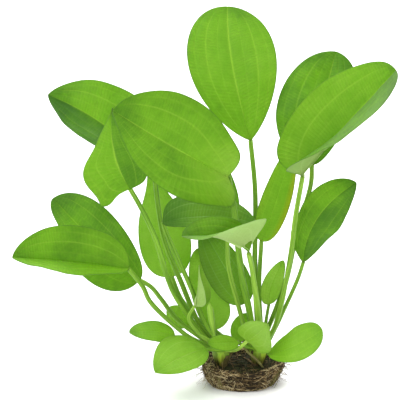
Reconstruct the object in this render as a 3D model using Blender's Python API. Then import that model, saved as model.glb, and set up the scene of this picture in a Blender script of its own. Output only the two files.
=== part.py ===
"""Sword plant (Echinodorus) on its root ball: blades, leaf stalks, two crowns, soil and root mat.

Sizes are millimetres, turned into metres where a mesh is made. +Z is up, the viewer stands at -Y,
and the origin is the middle of the root ball's flat underside.
"""
import math
from dataclasses import dataclass

import bmesh
import bpy
from mathutils import Vector

MM = 0.001

# Root ball
MAT_FOOT_R = 18.5
MAT_BELLY_R = 22.5
MAT_RIM_R = 24.5
MAT_HEIGHT = 14.0
MAT_DEPTH_RATIO = 0.93
MAT_CENTRE = (-0.9, 0.0)
MAT_LEAN = -1.2
MAT_SIDES = 36
MAT_LUMP = 0.55
DISH_R = 21.8
DISH_FLOOR = 9.0
SOIL_TOP = 11.5
FIT_GAP = 0.3

# Crowns, the short stems that carry the leaves
CROWN_TOP = 20.0
CROWN_FOOT_R = 4.6
CROWN_TOP_R = 5.7
CROWN_SIDES = 14
INNER_SEAT_R = 2.2
OUTER_SEAT_R = 4.7
CROWN_LEFT = (-14.5, -3.0)
CROWN_RIGHT = (8.0, 0.0)

# Blades and stalks
BLADE_THICK = 0.5
STALK_FOOT_R = 0.95
STALK_SIDES_RESOLUTION = 1
STALK_STEPS = 7
STALK_SWELL_AT = 0.3
STALK_TOP_TAPER = 0.15
STALK_RISE = 2.5
JOINT_GAP = 0.6

# Roots that lie on the mat
ROOT_R = 0.7
ROOT_TIP_TAPER = 0.4
ROOT_STEPS = 9
ROOT_HEIGHTS = (12.0, 9.5, 6.0, 2.6, 1.1)
ROOT_CLEAR = (1.6, 1.7, 1.8, 1.8, 1.8)
ROOT_PLACES = (("root_front", 301, -9), ("root_right", 336, -12), ("root_left", 226, 12))

# Finishes, as linear colours
LEAF_GREEN = (0.19, 0.46, 0.05)
SHADED_GREEN = (0.09, 0.27, 0.04)
YOUNG_GREEN = (0.36, 0.60, 0.16)
STALK_GREEN = (0.22, 0.40, 0.08)
CROWN_OLIVE = (0.20, 0.21, 0.06)
MAT_BROWN = (0.13, 0.085, 0.045)
SOIL_BROWN = (0.03, 0.022, 0.014)
ROOT_TAN = (0.42, 0.36, 0.18)


@dataclass(frozen=True)
class Leaf:
    """One leaf: where its stalk stands, the route of the stalk, and the form of its blade.

    The seat is a radius and an angle on its crown, the rib runs joint, middle, tip, and face is the
    way the upper side looks. Pairs are left and right, except the folds, which are the degrees that a
    half is raised towards the upper side, at the base and at the tip. A bulge in the margin has a
    side (-1 left, 1 right), its place along the rib, its share of the half width and its spread.
    """

    name: str
    crown: tuple
    seat: tuple
    via: tuple
    rib: tuple
    width: float
    face: tuple
    fold_left: tuple = (0, 0)
    fold_right: tuple = (0, 0)
    fold_power: float = 1.0
    share: tuple = (1.0, 1.0)
    egg: tuple = (0.15, 0.15)
    lobe: tuple = (0.0, 0.0)
    bulges: tuple = ()
    base_round: float = 0.9
    tip_round: float = 1.1
    stalk_r: float = 1.5
    joint_gap: float = JOINT_GAP
    steps: tuple = (9, 6)
    colour: tuple = LEAF_GREEN


INNER = INNER_SEAT_R
OUTER = OUTER_SEAT_R
BIG = (10, 8)
MIDDLE = (8, 6)
SMALL = (6, 4)

LEAVES = (
    Leaf("tall_centre", CROWN_RIGHT, (INNER, 90), ((6, 9, 68), (6, 15, 115)),
         ((3, 18, 148), (-8, 28, 192), (-11, 40, 226)), 52, (0, -1, 0.1), share=(1, 1.04),
         egg=(-0.2, -0.1), base_round=1.6, tip_round=0.95, stalk_r=1.6, steps=BIG),
    Leaf("back_left", CROWN_LEFT, (INNER, 118), ((-28, 4, 36), (-39, 6, 62), (-50, 11, 90)),
         ((-56, 17, 131), (-86, 25, 156), (-120, 33, 173)), 47, (-0.2, -1, 0.5),
         fold_left=(-60, -55), fold_right=(5, 5), share=(1, 1.07), egg=(-0.1, 0.25),
         bulges=((1, 0.8, 0.08, 0.15),), base_round=1, tip_round=1.35, stalk_r=1.6, steps=BIG),
    Leaf("big_front", CROWN_RIGHT, (INNER, 234), ((3, -7, 45), (-3, -8, 75), (-7, -9, 110)),
         ((-11, -20, 135), (-48, -37, 160), (-77, -48, 181)), 62, (0, -1, 0.3), fold_left=(5, -20),
         fold_right=(8, 3), share=(0.75, 0.97), egg=(0.7, 0.1), lobe=(0.27, 0.14),
         bulges=((-1, 0.04, -0.45, 0.07), (-1, 0.2, -0.3, 0.15), (1, 0.2, -0.17, 0.15)),
         base_round=1.7, tip_round=0.97, stalk_r=2.1, joint_gap=5.2, steps=BIG),
    Leaf("hanging_left", CROWN_LEFT, (INNER, 190),
         ((-27, -2, 33), (-44, -5, 60), (-54, -8, 93), (-62, -13, 113)),
         ((-69, -18, 127), (-78, -24, 152), (-78, -31, 179)), 28, (-0.4, -1, 0.2),
         share=(0.85, 1.05), egg=(1, 0.8), lobe=(0.24, -0.1),
         bulges=((-1, 0.17, 0.35, 0.1), (-1, 0.4, 0.7, 0.12)), base_round=0.55, tip_round=1.35,
         stalk_r=1.7, steps=BIG),
    Leaf("low_left", CROWN_LEFT, (OUTER, 207), ((-36, -5, 32), (-56, -11, 53), (-62, -15, 66)),
         ((-70, -18, 78), (-107, -30, 86), (-137, -42, 92)), 44, (0, -0.5, 1), fold_left=(15, 15),
         fold_right=(55, 58), share=(0.58, 1.02), egg=(0.05, 0.1), lobe=(0, 0.05),
         bulges=((-1, 0.5, 0.25, 0.25),), base_round=1.15, tip_round=1.2, stalk_r=1.6, steps=BIG),
    Leaf("low_left_back", CROWN_LEFT, (OUTER, 158), ((-40, 2, 38), (-51, 0, 53), (-57, -1, 61)),
         ((-64, -2, 66), (-91.5, 7, 88), (-117.5, 20, 111)), 39, (-0.2, -1, 0.5),
         share=(1.02, 0.95), egg=(0.3, -0.2), bulges=((-1, 0.8, -0.3, 0.2),), base_round=0.95,
         steps=BIG),
    Leaf("back_upright", CROWN_LEFT, (OUTER, 90), ((-37, 18, 44),),
         ((-45, 24, 60), (-51, 30, 98), (-58, 38, 136)), 27, (0.2, -1, 0.0), share=(1.12, 0.97),
         egg=(0.55, 0.65), bulges=((-1, 0.8, -0.35, 0.2), (1, 0.8, -0.6, 0.2)), base_round=0.85,
         steps=MIDDLE),
    Leaf("shaded_flat", CROWN_LEFT, (INNER, 334), ((-24, -1, 37), (-35, 0, 65), (-46, 1, 90)),
         ((-50, 2, 101), (-22, -3, 106), (6, 0, 101)), 30, (0, -1, 1), share=(1.1, 0.45),
         egg=(0.25, 0.1), lobe=(0.06, 0.0), stalk_r=1.5, joint_gap=1.3, steps=MIDDLE,
         colour=SHADED_GREEN),
    Leaf("folded_pale", CROWN_RIGHT, (OUTER, 270), ((8, -15, 41), (4, -24, 75)),
         ((1, -34, 93), (-16, -42, 104), (-38, -46, 106)), 34, (0, -0.2, 1), fold_left=(118, -5),
         fold_right=(75, 65), fold_power=0.8, share=(1.24, 0.8), egg=(0.75, 0.15), lobe=(0.08, 0),
         bulges=((-1, 0.1, -0.25, 0.12),), tip_round=0.95, stalk_r=1.8, steps=MIDDLE,
         colour=YOUNG_GREEN),
    Leaf("back_low", CROWN_RIGHT, (INNER, 162), (), ((1, 6, 49), (-12, 12, 69), (-26, 20, 92)), 26,
         (0, -1, 0.3), share=(1, 0.85), steps=MIDDLE, colour=SHADED_GREEN),
    Leaf("centre_low", CROWN_LEFT, (OUTER, 58), ((-13, 4, 26),),
         ((-19, 7, 31), (-23, 12, 56), (-29, 18, 80)), 21, (0, -1, 0.3), egg=(0, 0.3),
         bulges=((1, 0.1, 0.2, 0.2),), steps=MIDDLE),
    Leaf("young_folded", CROWN_LEFT, (INNER, 262), ((-28, -9, 34), (-34.5, -10.5, 44)),
         ((-30.5, -10, 52), (-29, -8, 63), (-28, -4, 76)), 15, (0.5, -0.85, 0.1),
         fold_left=(115, 70), fold_right=(5, 0), share=(1, 1.1), egg=(0.7, 0.6), base_round=0.8,
         stalk_r=1.1, steps=SMALL, colour=YOUNG_GREEN, joint_gap=1.2),
    Leaf("right_back", CROWN_RIGHT, (OUTER, 62), ((24, 5, 60), (31, 8, 92), (39, 11, 120)),
         ((40, 14, 134), (46, 22, 167), (55, 36, 199)), 51, (-0.2, -1, 0.3), share=(1.07, 0.7),
         egg=(0.05, -0.3), base_round=0.95, stalk_r=1.6, steps=BIG),
    Leaf("right_front", CROWN_RIGHT, (INNER, 310), ((18.5, -5, 39), (26, -7, 78), (29.5, -9, 108)),
         ((33, -10, 133), (57, -21, 166), (85, -31, 201)), 64, (-0.6, -1, 0.5), fold_left=(15, 8),
         fold_right=(120, 30), fold_power=0.6, share=(0.92, 0.96), egg=(0.15, 0.25),
         lobe=(0.2, 0.1), bulges=((-1, 0.04, 0.1, 0.08),), base_round=2, tip_round=0.75,
         stalk_r=1.7, steps=BIG),
    Leaf("right_inner", CROWN_RIGHT, (INNER, 18), ((8.5, 5.5, 58),),
         ((10, 10, 87), (19, 12, 113), (28, 15, 145)), 18, (0.2, -1, 0.2), share=(1.05, 1),
         egg=(0.2, 0.15), base_round=0.85, tip_round=1.05, stalk_r=1.5, steps=MIDDLE),
    Leaf("right_low", CROWN_RIGHT, (OUTER, 350), ((21, -1, 41), (31, 0, 64)),
         ((35, 2, 76), (43, -2, 105), (66, 1, 126)), 32, (-0.2, -1, 0.3), fold_left=(10, 10),
         fold_right=(-45, -42), share=(0.75, 1.13), egg=(-0.35, 0), lobe=(-0.07, 0),
         bulges=((-1, 0.12, 0.7, 0.15),), base_round=1.3, tip_round=1.35, stalk_r=1.3,
         steps=MIDDLE),
    Leaf("right_small", CROWN_RIGHT, (OUTER, 22), ((12.5, 0, 37),),
         ((14.5, 1, 49.5), (16, 0, 63), (23, 2, 77)), 13, (0.2, -1, 0.2), share=(0.88, 1.04),
         egg=(0.25, 0.15), base_round=0.85, stalk_r=1.1, steps=SMALL),
    Leaf("base_front", CROWN_LEFT, (OUTER, 312), ((-5, -17, 27),),
         ((1, -20, 33), (7, -26, 40), (13, -30, 47)), 20, (0.3, -1, 0.3), share=(1.05, 0.9),
         egg=(0.2, 0.6), lobe=(0.07, 0.26), bulges=((1, 0.4, 0.4, 0.2),), base_round=0.75,
         stalk_r=1.2, steps=SMALL, colour=YOUNG_GREEN),
    Leaf("base_right", CROWN_RIGHT, (OUTER, 308), (), ((14, -16, 24), (28, -24, 31), (45, -31, 44)),
         23, (0, -0.8, 1), share=(1.05, 0.95), egg=(-0.2, -0.45), base_round=0.85, tip_round=1,
         stalk_r=1.2, steps=MIDDLE),
    Leaf("base_left", CROWN_LEFT, (OUTER, 238), ((-29, -9, 25),),
         ((-43, -7, 32), (-56, -10, 36), (-70, -16, 37)), 18, (0, -0.5, 1), egg=(0, 0.2),
         base_round=1, stalk_r=1.1, steps=SMALL),
    Leaf("base_left_front", CROWN_LEFT, (OUTER, 268), (),
         ((-24, -15, 27), (-38, -28, 26), (-54, -42, 21)), 30, (0, -0.6, 1), share=(0.8, 1.2),
         egg=(0.05, 0.25), base_round=1.15, tip_round=1.4, stalk_r=1.3, steps=MIDDLE,
         colour=YOUNG_GREEN),
    Leaf("base_centre", CROWN_RIGHT, (OUTER, 228), ((1, -10, 26),),
         ((-5, -18, 32), (-14, -23, 33), (-23, -26, 34)), 12, (0, -0.8, 1), stalk_r=1.2,
         steps=SMALL),
    Leaf("base_back", CROWN_RIGHT, (OUTER, 140), (), ((0, 8, 24), (-2, 11, 31), (2, 15, 39)), 14,
         (0, -1, 0.2), share=(0.95, 1), egg=(0.25, 0.1), base_round=0.85, tip_round=1.15,
         stalk_r=0.9, steps=SMALL),
    Leaf("base_left_back", CROWN_LEFT, (OUTER, 118), (),
         ((-34, 9, 33.5), (-41, 10, 39), (-48, 12, 42.5)), 13, (0, -1, 0.3), stalk_r=1.0,
         steps=SMALL),
    Leaf("hidden_back", CROWN_RIGHT, (OUTER, 185), ((-2, -1, 41), (-10, 2, 72)),
         ((-11, 10, 93), (-22, 22, 118), (-27, 38, 142)), 31, (0, -1, 0.2), stalk_r=1.5,
         steps=MIDDLE),
)


def clear_scene():
    """Removes what a new file starts with."""
    for obj in list(bpy.data.objects):
        bpy.data.objects.remove(obj, do_unlink=True)


def make_material(name, colour, roughness):
    """A plain dielectric finish."""
    material = bpy.data.materials.new(name)
    material.use_nodes = True
    shader = material.node_tree.nodes["Principled BSDF"]
    shader.inputs["Base Color"].default_value = (*colour, 1.0)
    shader.inputs["Roughness"].default_value = roughness
    shader.inputs["Metallic"].default_value = 0.0
    return material


def add_object(name, data, material):
    """Links an object to the scene with its material."""
    obj = bpy.data.objects.new(name, data)
    data.materials.append(material)
    bpy.context.scene.collection.objects.link(obj)
    return obj


def mesh_from(name, points, faces):
    """A mesh of points in millimetres, with its faces turned outwards where it is closed."""
    mesh = bpy.data.meshes.new(name)
    mesh.from_pydata([Vector(p) * MM for p in points], [], faces)
    shell = bmesh.new()
    shell.from_mesh(mesh)
    bmesh.ops.recalc_face_normals(shell, faces=shell.faces)
    shell.to_mesh(mesh)
    shell.free()
    return mesh


def rib_place(rib, along):
    """Point and direction on the quadratic through joint, middle and tip, straight on outside it."""
    joint, middle, tip = (Vector(p) for p in rib)
    t = min(max(along, 0.0), 1.0)
    point = joint * (1 - t) * (1 - 2 * t) + middle * 4 * t * (1 - t) + tip * t * (2 * t - 1)
    slope = joint * (4 * t - 3) + middle * (4 - 8 * t) + tip * (4 * t - 1)
    return point + slope * (along - t), slope.normalized()


def blade_point(leaf, u, s):
    """A point of the blade: u runs from joint to tip, s from the left margin (-1) to the right (1).

    The margin is a rounded oval. Its halves may be egg-shaped, bulge or dip at places, fold along
    the rib and reach back past the joint in a lobe. Lines of equal s are the long veins.
    """
    side = 1 if s > 0 else 0
    along_rib = (1 - math.cos(math.pi * u)) / 2
    roundness = leaf.base_round * (1 - u) + leaf.tip_round * u
    oval = max(math.sin(math.pi * u), 0.0) ** roundness
    half_width = leaf.width / 2 * leaf.share[side] * oval * (1 + leaf.egg[side] * math.cos(math.pi * u))
    for bulging_side, place, amount, spread in leaf.bulges:
        if (bulging_side > 0) == (side > 0):
            half_width *= 1 + amount * math.exp(-((along_rib - place) / spread) ** 2)
    back = leaf.lobe[side] * math.sin(math.pi * min(u / 0.6, 1.0)) ** 2
    origin, forward = rib_place(leaf.rib, along_rib - back * abs(s) ** 1.5)
    face = Vector(leaf.face)
    normal = (face - forward * face.dot(forward)).normalized()
    right = forward.cross(normal) * (1 if side else -1)
    at_base, at_tip = leaf.fold_right if side else leaf.fold_left
    fold = math.radians(at_base + (at_tip - at_base) * along_rib ** leaf.fold_power)
    return origin + (right * math.cos(fold) + normal * math.sin(fold)) * (abs(s) * half_width)


def make_blade(leaf):
    """The blade as a grid with a point at joint and tip, given its thickness by Solidify."""
    rows, columns = leaf.steps
    points = [blade_point(leaf, 0.0, 0.0)]
    for i in range(1, rows):
        for j in range(columns + 1):
            points.append(blade_point(leaf, i / rows, 2 * j / columns - 1))
    points.append(blade_point(leaf, 1.0, 0.0))
    last = len(points) - 1

    def place(i, j):
        return 1 + (i - 1) * (columns + 1) + j

    faces = []
    for j in range(columns):
        faces.append((0, place(1, j + 1), place(1, j)))
        faces.append((last, place(rows - 1, j), place(rows - 1, j + 1)))
        for i in range(1, rows - 1):
            faces.append((place(i, j), place(i, j + 1), place(i + 1, j + 1), place(i + 1, j)))
    mesh = mesh_from("blade_" + leaf.name, points, faces)
    material = make_material("blade_" + leaf.name, leaf.colour, 0.45)
    blade = add_object("blade_" + leaf.name, mesh, material)
    wall = blade.modifiers.new("thickness", "SOLIDIFY")
    wall.thickness = BLADE_THICK * MM
    wall.offset = 0.0
    return blade


def smooth_path(route, steps):
    """Evenly stepped points on the Catmull-Rom curve through the route's points."""
    route = [Vector(p) for p in route]
    ends = [route[0] * 2 - route[1]] + route + [route[-1] * 2 - route[-2]]
    spans = len(route) - 1
    path = []
    for k in range(steps + 1):
        place = k / steps * spans
        i = min(int(place), spans - 1)
        f = place - i
        a, b, c, d = ends[i:i + 4]
        path.append((b * 2 + (c - a) * f + (a * 2 - b * 5 + c * 4 - d) * f ** 2
                     + (b * 3 - a - c * 3 + d) * f ** 3) * 0.5)
    return path


def make_tube(name, path, radii, material):
    """A capped tube along a path, with its own radius at each point."""
    curve = bpy.data.curves.new(name, "CURVE")
    curve.dimensions = "3D"
    curve.bevel_depth = MM
    curve.bevel_resolution = STALK_SIDES_RESOLUTION
    curve.use_fill_caps = True
    spline = curve.splines.new("POLY")
    spline.points.add(len(path) - 1)
    for point, place, radius in zip(spline.points, path, radii):
        point.co = (*(place * MM), 1.0)
        point.radius = radius
    return add_object(name, curve, material)


def stalk_radius(leaf, t):
    """Slim where it leaves the crown, fullest a third of the way up, and slimmer at the blade."""
    if t < STALK_SWELL_AT:
        return STALK_FOOT_R + (leaf.stalk_r - STALK_FOOT_R) * t / STALK_SWELL_AT
    return leaf.stalk_r * (1 - STALK_TOP_TAPER * (t - STALK_SWELL_AT) / (1 - STALK_SWELL_AT))


def make_stalk(leaf):
    """The stalk from its seat on the crown to just short of the blade's joint."""
    ring, angle = leaf.seat
    seat = Vector((leaf.crown[0] + ring * math.cos(math.radians(angle)),
                   leaf.crown[1] + ring * math.sin(math.radians(angle)),
                   CROWN_TOP + FIT_GAP))
    joint = Vector(leaf.rib[0])
    risen = seat + Vector((0, 0, STALK_RISE))
    before = Vector(leaf.via[-1]) if leaf.via else risen
    end = joint + (before - joint).normalized() * leaf.joint_gap
    path = [seat] + smooth_path((risen, *leaf.via, end), STALK_STEPS - 1)
    radii = [stalk_radius(leaf, k / STALK_STEPS) for k in range(STALK_STEPS + 1)]
    material = make_material("stalk_" + leaf.name, STALK_GREEN, 0.4)
    return make_tube("stalk_" + leaf.name, path, radii, material)


def turned_solid(name, rings, sides, centre, depth_ratio, material, lean=0.0):
    """A solid turned from (radius, height, lump) rings, lowest outer ring first, closed at both ends.

    Lean moves the lowest ring sideways, and higher ones less, down to none at the rim's height.
    """
    points = []
    for row, (radius, height, lump) in enumerate(rings):
        shift = lean * (1 - height / MAT_HEIGHT)
        for k in range(sides):
            turn = 2 * math.pi * k / sides
            uneven = lump * (math.sin(5 * turn + 1.7 * row) + math.sin(9 * turn - 2.3 * row))
            reach = radius + uneven
            points.append((centre[0] + shift + reach * math.cos(turn),
                           centre[1] + reach * depth_ratio * math.sin(turn), height))
    faces = []
    for row in range(len(rings) - 1):
        for k in range(sides):
            n = (k + 1) % sides
            faces.append((row * sides + k, row * sides + n, (row + 1) * sides + n, (row + 1) * sides + k))
    faces.append(tuple(reversed(range(sides))))
    faces.append(tuple(range((len(rings) - 1) * sides, len(rings) * sides)))
    return add_object(name, mesh_from(name, points, faces), material)


def make_root_ball():
    """The fibrous mat with its shallow dish, and the soil that fills the dish."""
    mat_rings = ((MAT_FOOT_R, 0.0, 0.0), (MAT_FOOT_R + 1.6, 1.6, MAT_LUMP), (MAT_BELLY_R, 6.0, MAT_LUMP),
                 (MAT_RIM_R - 0.8, 11.0, MAT_LUMP), (MAT_RIM_R, MAT_HEIGHT - 0.8, MAT_LUMP),
                 (DISH_R + 1.3, MAT_HEIGHT, 0.0), (DISH_R, MAT_HEIGHT - 1.5, 0.0),
                 (DISH_R - 0.6, DISH_FLOOR, 0.0))
    mat_material = make_material("root_mat", MAT_BROWN, 0.95)
    turned_solid("root_mat", mat_rings, MAT_SIDES, MAT_CENTRE, MAT_DEPTH_RATIO, mat_material, MAT_LEAN)
    inner = DISH_R - 0.6 - FIT_GAP / MAT_DEPTH_RATIO
    soil_rings = ((inner - 0.2, DISH_FLOOR + FIT_GAP, 0.0), (inner, SOIL_TOP - 0.6, 0.0),
                  (inner - 1.2, SOIL_TOP, 0.0))
    soil_material = make_material("soil", SOIL_BROWN, 1.0)
    turned_solid("soil", soil_rings, MAT_SIDES, MAT_CENTRE, MAT_DEPTH_RATIO, soil_material)


def make_crown(name, centre):
    """A short stem on the soil that widens upwards, as the bases of its stalks spread."""
    foot = SOIL_TOP + FIT_GAP
    rings = ((CROWN_FOOT_R - 0.5, foot, 0.0), (CROWN_FOOT_R, foot + 1.0, 0.0),
             (CROWN_FOOT_R + 0.3, foot + 4.0, 0.0), (CROWN_TOP_R, CROWN_TOP, 0.0))
    material = make_material(name, CROWN_OLIVE, 0.6)
    return turned_solid(name, rings, CROWN_SIDES, centre, 1.0, material)


def make_surface_roots():
    """Pale roots that run down the outside of the mat, each a node of its own."""
    for name, turn, lean in ROOT_PLACES:
        route = []
        for height, clear in zip(ROOT_HEIGHTS, ROOT_CLEAR):
            along = (MAT_HEIGHT - height) / MAT_HEIGHT
            wall = MAT_FOOT_R + (MAT_RIM_R - MAT_FOOT_R) * (1 - along) ** 0.7
            reach = wall + 2 * MAT_LUMP + clear
            angle = math.radians(turn + lean * along)
            shift = MAT_CENTRE[0] + MAT_LEAN * along
            route.append((shift + reach * math.cos(angle), reach * MAT_DEPTH_RATIO * math.sin(angle), height))
        path = smooth_path(route, ROOT_STEPS)
        radii = [ROOT_R * (1 - ROOT_TIP_TAPER * k / ROOT_STEPS) for k in range(ROOT_STEPS + 1)]
        make_tube(name, path, radii, make_material(name, ROOT_TAN, 0.7))


def main():
    clear_scene()
    make_root_ball()
    make_crown("crown_left", CROWN_LEFT)
    make_crown("crown_right", CROWN_RIGHT)
    make_surface_roots()
    for leaf in LEAVES:
        make_stalk(leaf)
        make_blade(leaf)


main()
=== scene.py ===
"""Sword plant on its root ball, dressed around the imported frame.

Every new piece is a numpy grid: a blade is a lens-shaped ring carried along its rib, a stalk is a
ribbed ring carried along its route, and roots are thin rings carried along many paths at once.
Lengths are millimetres until a mesh is made. +Z is up and the viewer stands at -Y.
"""

import logging
from dataclasses import dataclass, field
from enum import Enum

import bpy
import numpy as np
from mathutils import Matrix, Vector


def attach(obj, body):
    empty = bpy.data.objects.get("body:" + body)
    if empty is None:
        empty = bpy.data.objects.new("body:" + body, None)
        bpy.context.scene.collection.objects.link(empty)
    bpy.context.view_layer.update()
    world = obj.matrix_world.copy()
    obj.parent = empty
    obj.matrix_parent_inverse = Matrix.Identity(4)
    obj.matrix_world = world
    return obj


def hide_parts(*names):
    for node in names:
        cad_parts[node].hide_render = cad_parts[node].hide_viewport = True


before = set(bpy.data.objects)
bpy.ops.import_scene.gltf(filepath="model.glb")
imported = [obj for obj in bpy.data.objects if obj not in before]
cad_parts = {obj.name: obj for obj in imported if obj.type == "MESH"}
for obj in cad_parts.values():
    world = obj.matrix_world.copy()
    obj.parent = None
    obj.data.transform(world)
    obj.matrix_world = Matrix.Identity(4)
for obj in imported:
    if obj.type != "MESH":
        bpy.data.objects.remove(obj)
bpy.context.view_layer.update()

MM = 0.001
BODY = "root"
log = logging.getLogger("sword_plant")

Array = np.ndarray
Colour = tuple[float, float, float]
Point = tuple[float, float, float]
Pair = tuple[float, float]
Stops = tuple[tuple[float, Colour], ...]
Socket = bpy.types.NodeSocket
Material = bpy.types.Material


def unit(vectors: Array) -> Array:
    """Rows of three numbers, each divided by its length."""
    return vectors / np.maximum(np.linalg.norm(vectors, axis=-1, keepdims=True), 1e-9)


def smooth_step(values: Array) -> Array:
    """Three times the square less twice the cube of each value, held between 0 and 1."""
    held = np.clip(values, 0.0, 1.0)
    return held * held * (3 - 2 * held)


def bell(distance: Array, width: Array | float) -> Array:
    """The exponential of minus the square of the distance over the width: one in the middle."""
    return np.exp(-(distance / width) ** 2)


def eased(u: Array) -> Array:
    """Half of one less the cosine of a half turn: from 0 to 1, slow at both ends."""
    return (1 - np.cos(np.pi * u)) / 2


def turns(sides: int) -> Array:
    """The angles of that many equal steps once round."""
    return np.linspace(0, 2 * np.pi, sides, endpoint=False)


def halves(s: Array, pair: Pair) -> Array:
    """The first of a pair at the left of a blade, where s is below 0, and the second at the right."""
    return np.where(s > 0, pair[1], pair[0])


def lengths_along(route: Array) -> Array:
    """How far each point of a route is from the first one, summed from point to point."""
    return np.concatenate([[0], np.cumsum(np.linalg.norm(np.diff(route, axis=0), axis=1))])


def catmull_rom(route: Array, places: Array) -> Array:
    """Points on the Catmull-Rom curve through a route.

    Each stretch is the cubic that passes its two points and has there half the step between the
    points before and after.

    Args:
        route: the points that the curve passes, (n, 3).
        places: where to read it, 0 at the first point and 1 at the last.

    Returns:
        One point for each place, (len(places), 3).
    """
    ends = np.vstack([2 * route[0] - route[1], route, 2 * route[-1] - route[-2]])
    spans = len(route) - 1
    at = np.clip(places, 0, 1) * spans
    i = np.minimum(at.astype(int), spans - 1)
    f = (at - i)[:, None]
    a, b, c, d = ends[i], ends[i + 1], ends[i + 2], ends[i + 3]
    return 0.5 * (2 * b + (c - a) * f + (2 * a - 5 * b + 4 * c - d) * f**2 + (3 * b - a - 3 * c + d) * f**3)


def ripple(points: Array, length: float, seed: int, waves: int = 14) -> Array:
    """Smooth uneven values: the sum of sine waves that run in random directions, scaled to about 1.

    Args:
        points: places in millimetres, (..., 3).
        length: the usual distance between two crests.
        seed: picks the waves.
        waves: how many are added.

    Returns:
        A value from about -1 to 1 for each place.
    """
    rng = np.random.default_rng(seed)
    ways = unit(rng.normal(size=(waves, 3))) * (2 * np.pi / length * rng.uniform(0.7, 1.5, (waves, 1)))
    phases = rng.uniform(0, 2 * np.pi, waves)
    return np.sin(points @ ways.T + phases).sum(-1) / np.sqrt(waves) / 1.4


def in_scene(name: str, data: bpy.types.ID) -> bpy.types.Object:
    """Adds an object to the scene.

    Args:
        name: the object's name.
        data: its mesh, lamp or camera.

    Returns:
        The object, at the origin.
    """
    obj = bpy.data.objects.new(name, data)
    bpy.context.scene.collection.objects.link(obj)
    return obj


@dataclass
class Surface:
    """Points, faces and values at the points, before they become a mesh."""

    points: Array
    quads: Array
    triangles: Array
    values: dict[str, Array] = field(default_factory=dict)
    slots: Array | None = None

    @classmethod
    def closed_tube(cls, rings: Array, start: Array, end: Array) -> "Surface":
        """A closed skin over rings of points, with a pole at both ends.

        Point k of ring i joins point k + 1 and ring i + 1, so a ring that turns anticlockwise, seen
        from the end pole, has its skin facing outwards.

        Args:
            rings: (rows, sides, 3).
            start: the pole before the first ring.
            end: the pole past the last ring.

        Returns:
            The skin, with its ring points in order and then the two poles.
        """
        rows, sides, _ = rings.shape
        points = np.vstack([rings.reshape(-1, 3), start, end])
        here = np.arange(rows * sides).reshape(rows, sides)
        following = np.roll(here, -1, axis=1)
        quads = np.stack([here[:-1], following[:-1], following[1:], here[1:]], -1).reshape(-1, 4)
        first = np.full(sides, rows * sides)
        triangles = np.vstack([np.stack([first, following[0], here[0]], -1),
                               np.stack([first + 1, here[-1], following[-1]], -1)])
        return cls(points, quads, triangles)

    @classmethod
    def closed_tubes(cls, rings: Array, starts: Array, ends: Array) -> "Surface":
        """Many closed skins of one make: the first one's faces, counted on for each of the others.

        Args:
            rings: (count, rows, sides, 3).
            starts: the poles before the first rings, (count, 3).
            ends: the poles past the last rings, (count, 3).

        Returns:
            One skin, with the tubes one after another.
        """
        count = len(rings)
        one = cls.closed_tube(rings[0], starts[0], ends[0])
        points = np.concatenate([rings.reshape(count, -1, 3), starts[:, None], ends[:, None]], axis=1)
        shift = (np.arange(count) * points.shape[1])[:, None, None]
        quads = (one.quads + shift).reshape(-1, 4)
        triangles = (one.triangles + shift).reshape(-1, 3)
        return cls(points.reshape(-1, 3), quads, triangles)

    @classmethod
    def joined(cls, parts: list["Surface"]) -> "Surface":
        """Several skins in one, with the faces of each counted on from the points before it.

        Args:
            parts: the skins, which all have values of the same names.

        Returns:
            One skin with every point, face and value.
        """
        starts = np.cumsum([0] + [len(p.points) for p in parts[:-1]])
        values = {n: np.concatenate([p.values[n] for p in parts]) for n in parts[0].values}
        return cls(np.vstack([p.points for p in parts]),
                   np.vstack([p.quads + s for p, s in zip(parts, starts)]),
                   np.vstack([p.triangles + s for p, s in zip(parts, starts)]), values)

    def mesh(self, name: str, materials: tuple[Material, ...], step: float = MM) -> bpy.types.Mesh:
        """Makes a smooth mesh of the skin, with its values as attributes of the points.

        Args:
            name: the mesh's name.
            materials: its finishes, as the faces' slots count them.
            step: how many metres one unit of the points is.

        Returns:
            The mesh.
        """
        mesh = bpy.data.meshes.new(name)
        mesh.vertices.add(len(self.points))
        mesh.vertices.foreach_set("co", (self.points * step).astype(np.float32).ravel())
        corners = np.concatenate([self.quads.ravel(), self.triangles.ravel()])
        fours = 4 * len(self.quads)
        begins = np.concatenate([np.arange(0, fours, 4), fours + np.arange(0, 3 * len(self.triangles), 3)])
        mesh.loops.add(len(corners))
        mesh.loops.foreach_set("vertex_index", corners.astype(np.int32))
        mesh.polygons.add(len(begins))
        mesh.polygons.foreach_set("loop_start", begins.astype(np.int32))
        if self.slots is not None:
            mesh.polygons.foreach_set("material_index", self.slots.astype(np.int32))
        mesh.update(calc_edges=True)
        mesh.validate()
        mesh.shade_smooth()
        for key, value in self.values.items():
            kind, into = ("FLOAT", "value") if value.ndim == 1 else ("FLOAT_VECTOR", "vector")
            attribute = mesh.attributes.new(key, kind, "POINT")
            attribute.data.foreach_set(into, value.astype(np.float32).ravel())
        for material in materials:
            mesh.materials.append(material)
        return mesh

    def piece(self, name: str, slot: str, replaced: tuple[str, ...], materials: tuple[Material, ...]) -> None:
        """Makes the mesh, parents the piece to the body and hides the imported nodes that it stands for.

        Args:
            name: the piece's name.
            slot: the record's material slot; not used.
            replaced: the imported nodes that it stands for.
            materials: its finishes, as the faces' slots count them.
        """
        obj = in_scene(name, self.mesh(name, materials))
        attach(obj, BODY)
        if replaced:
            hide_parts(*replaced)
        log.info("%s: %d faces", name, len(obj.data.polygons))


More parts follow.
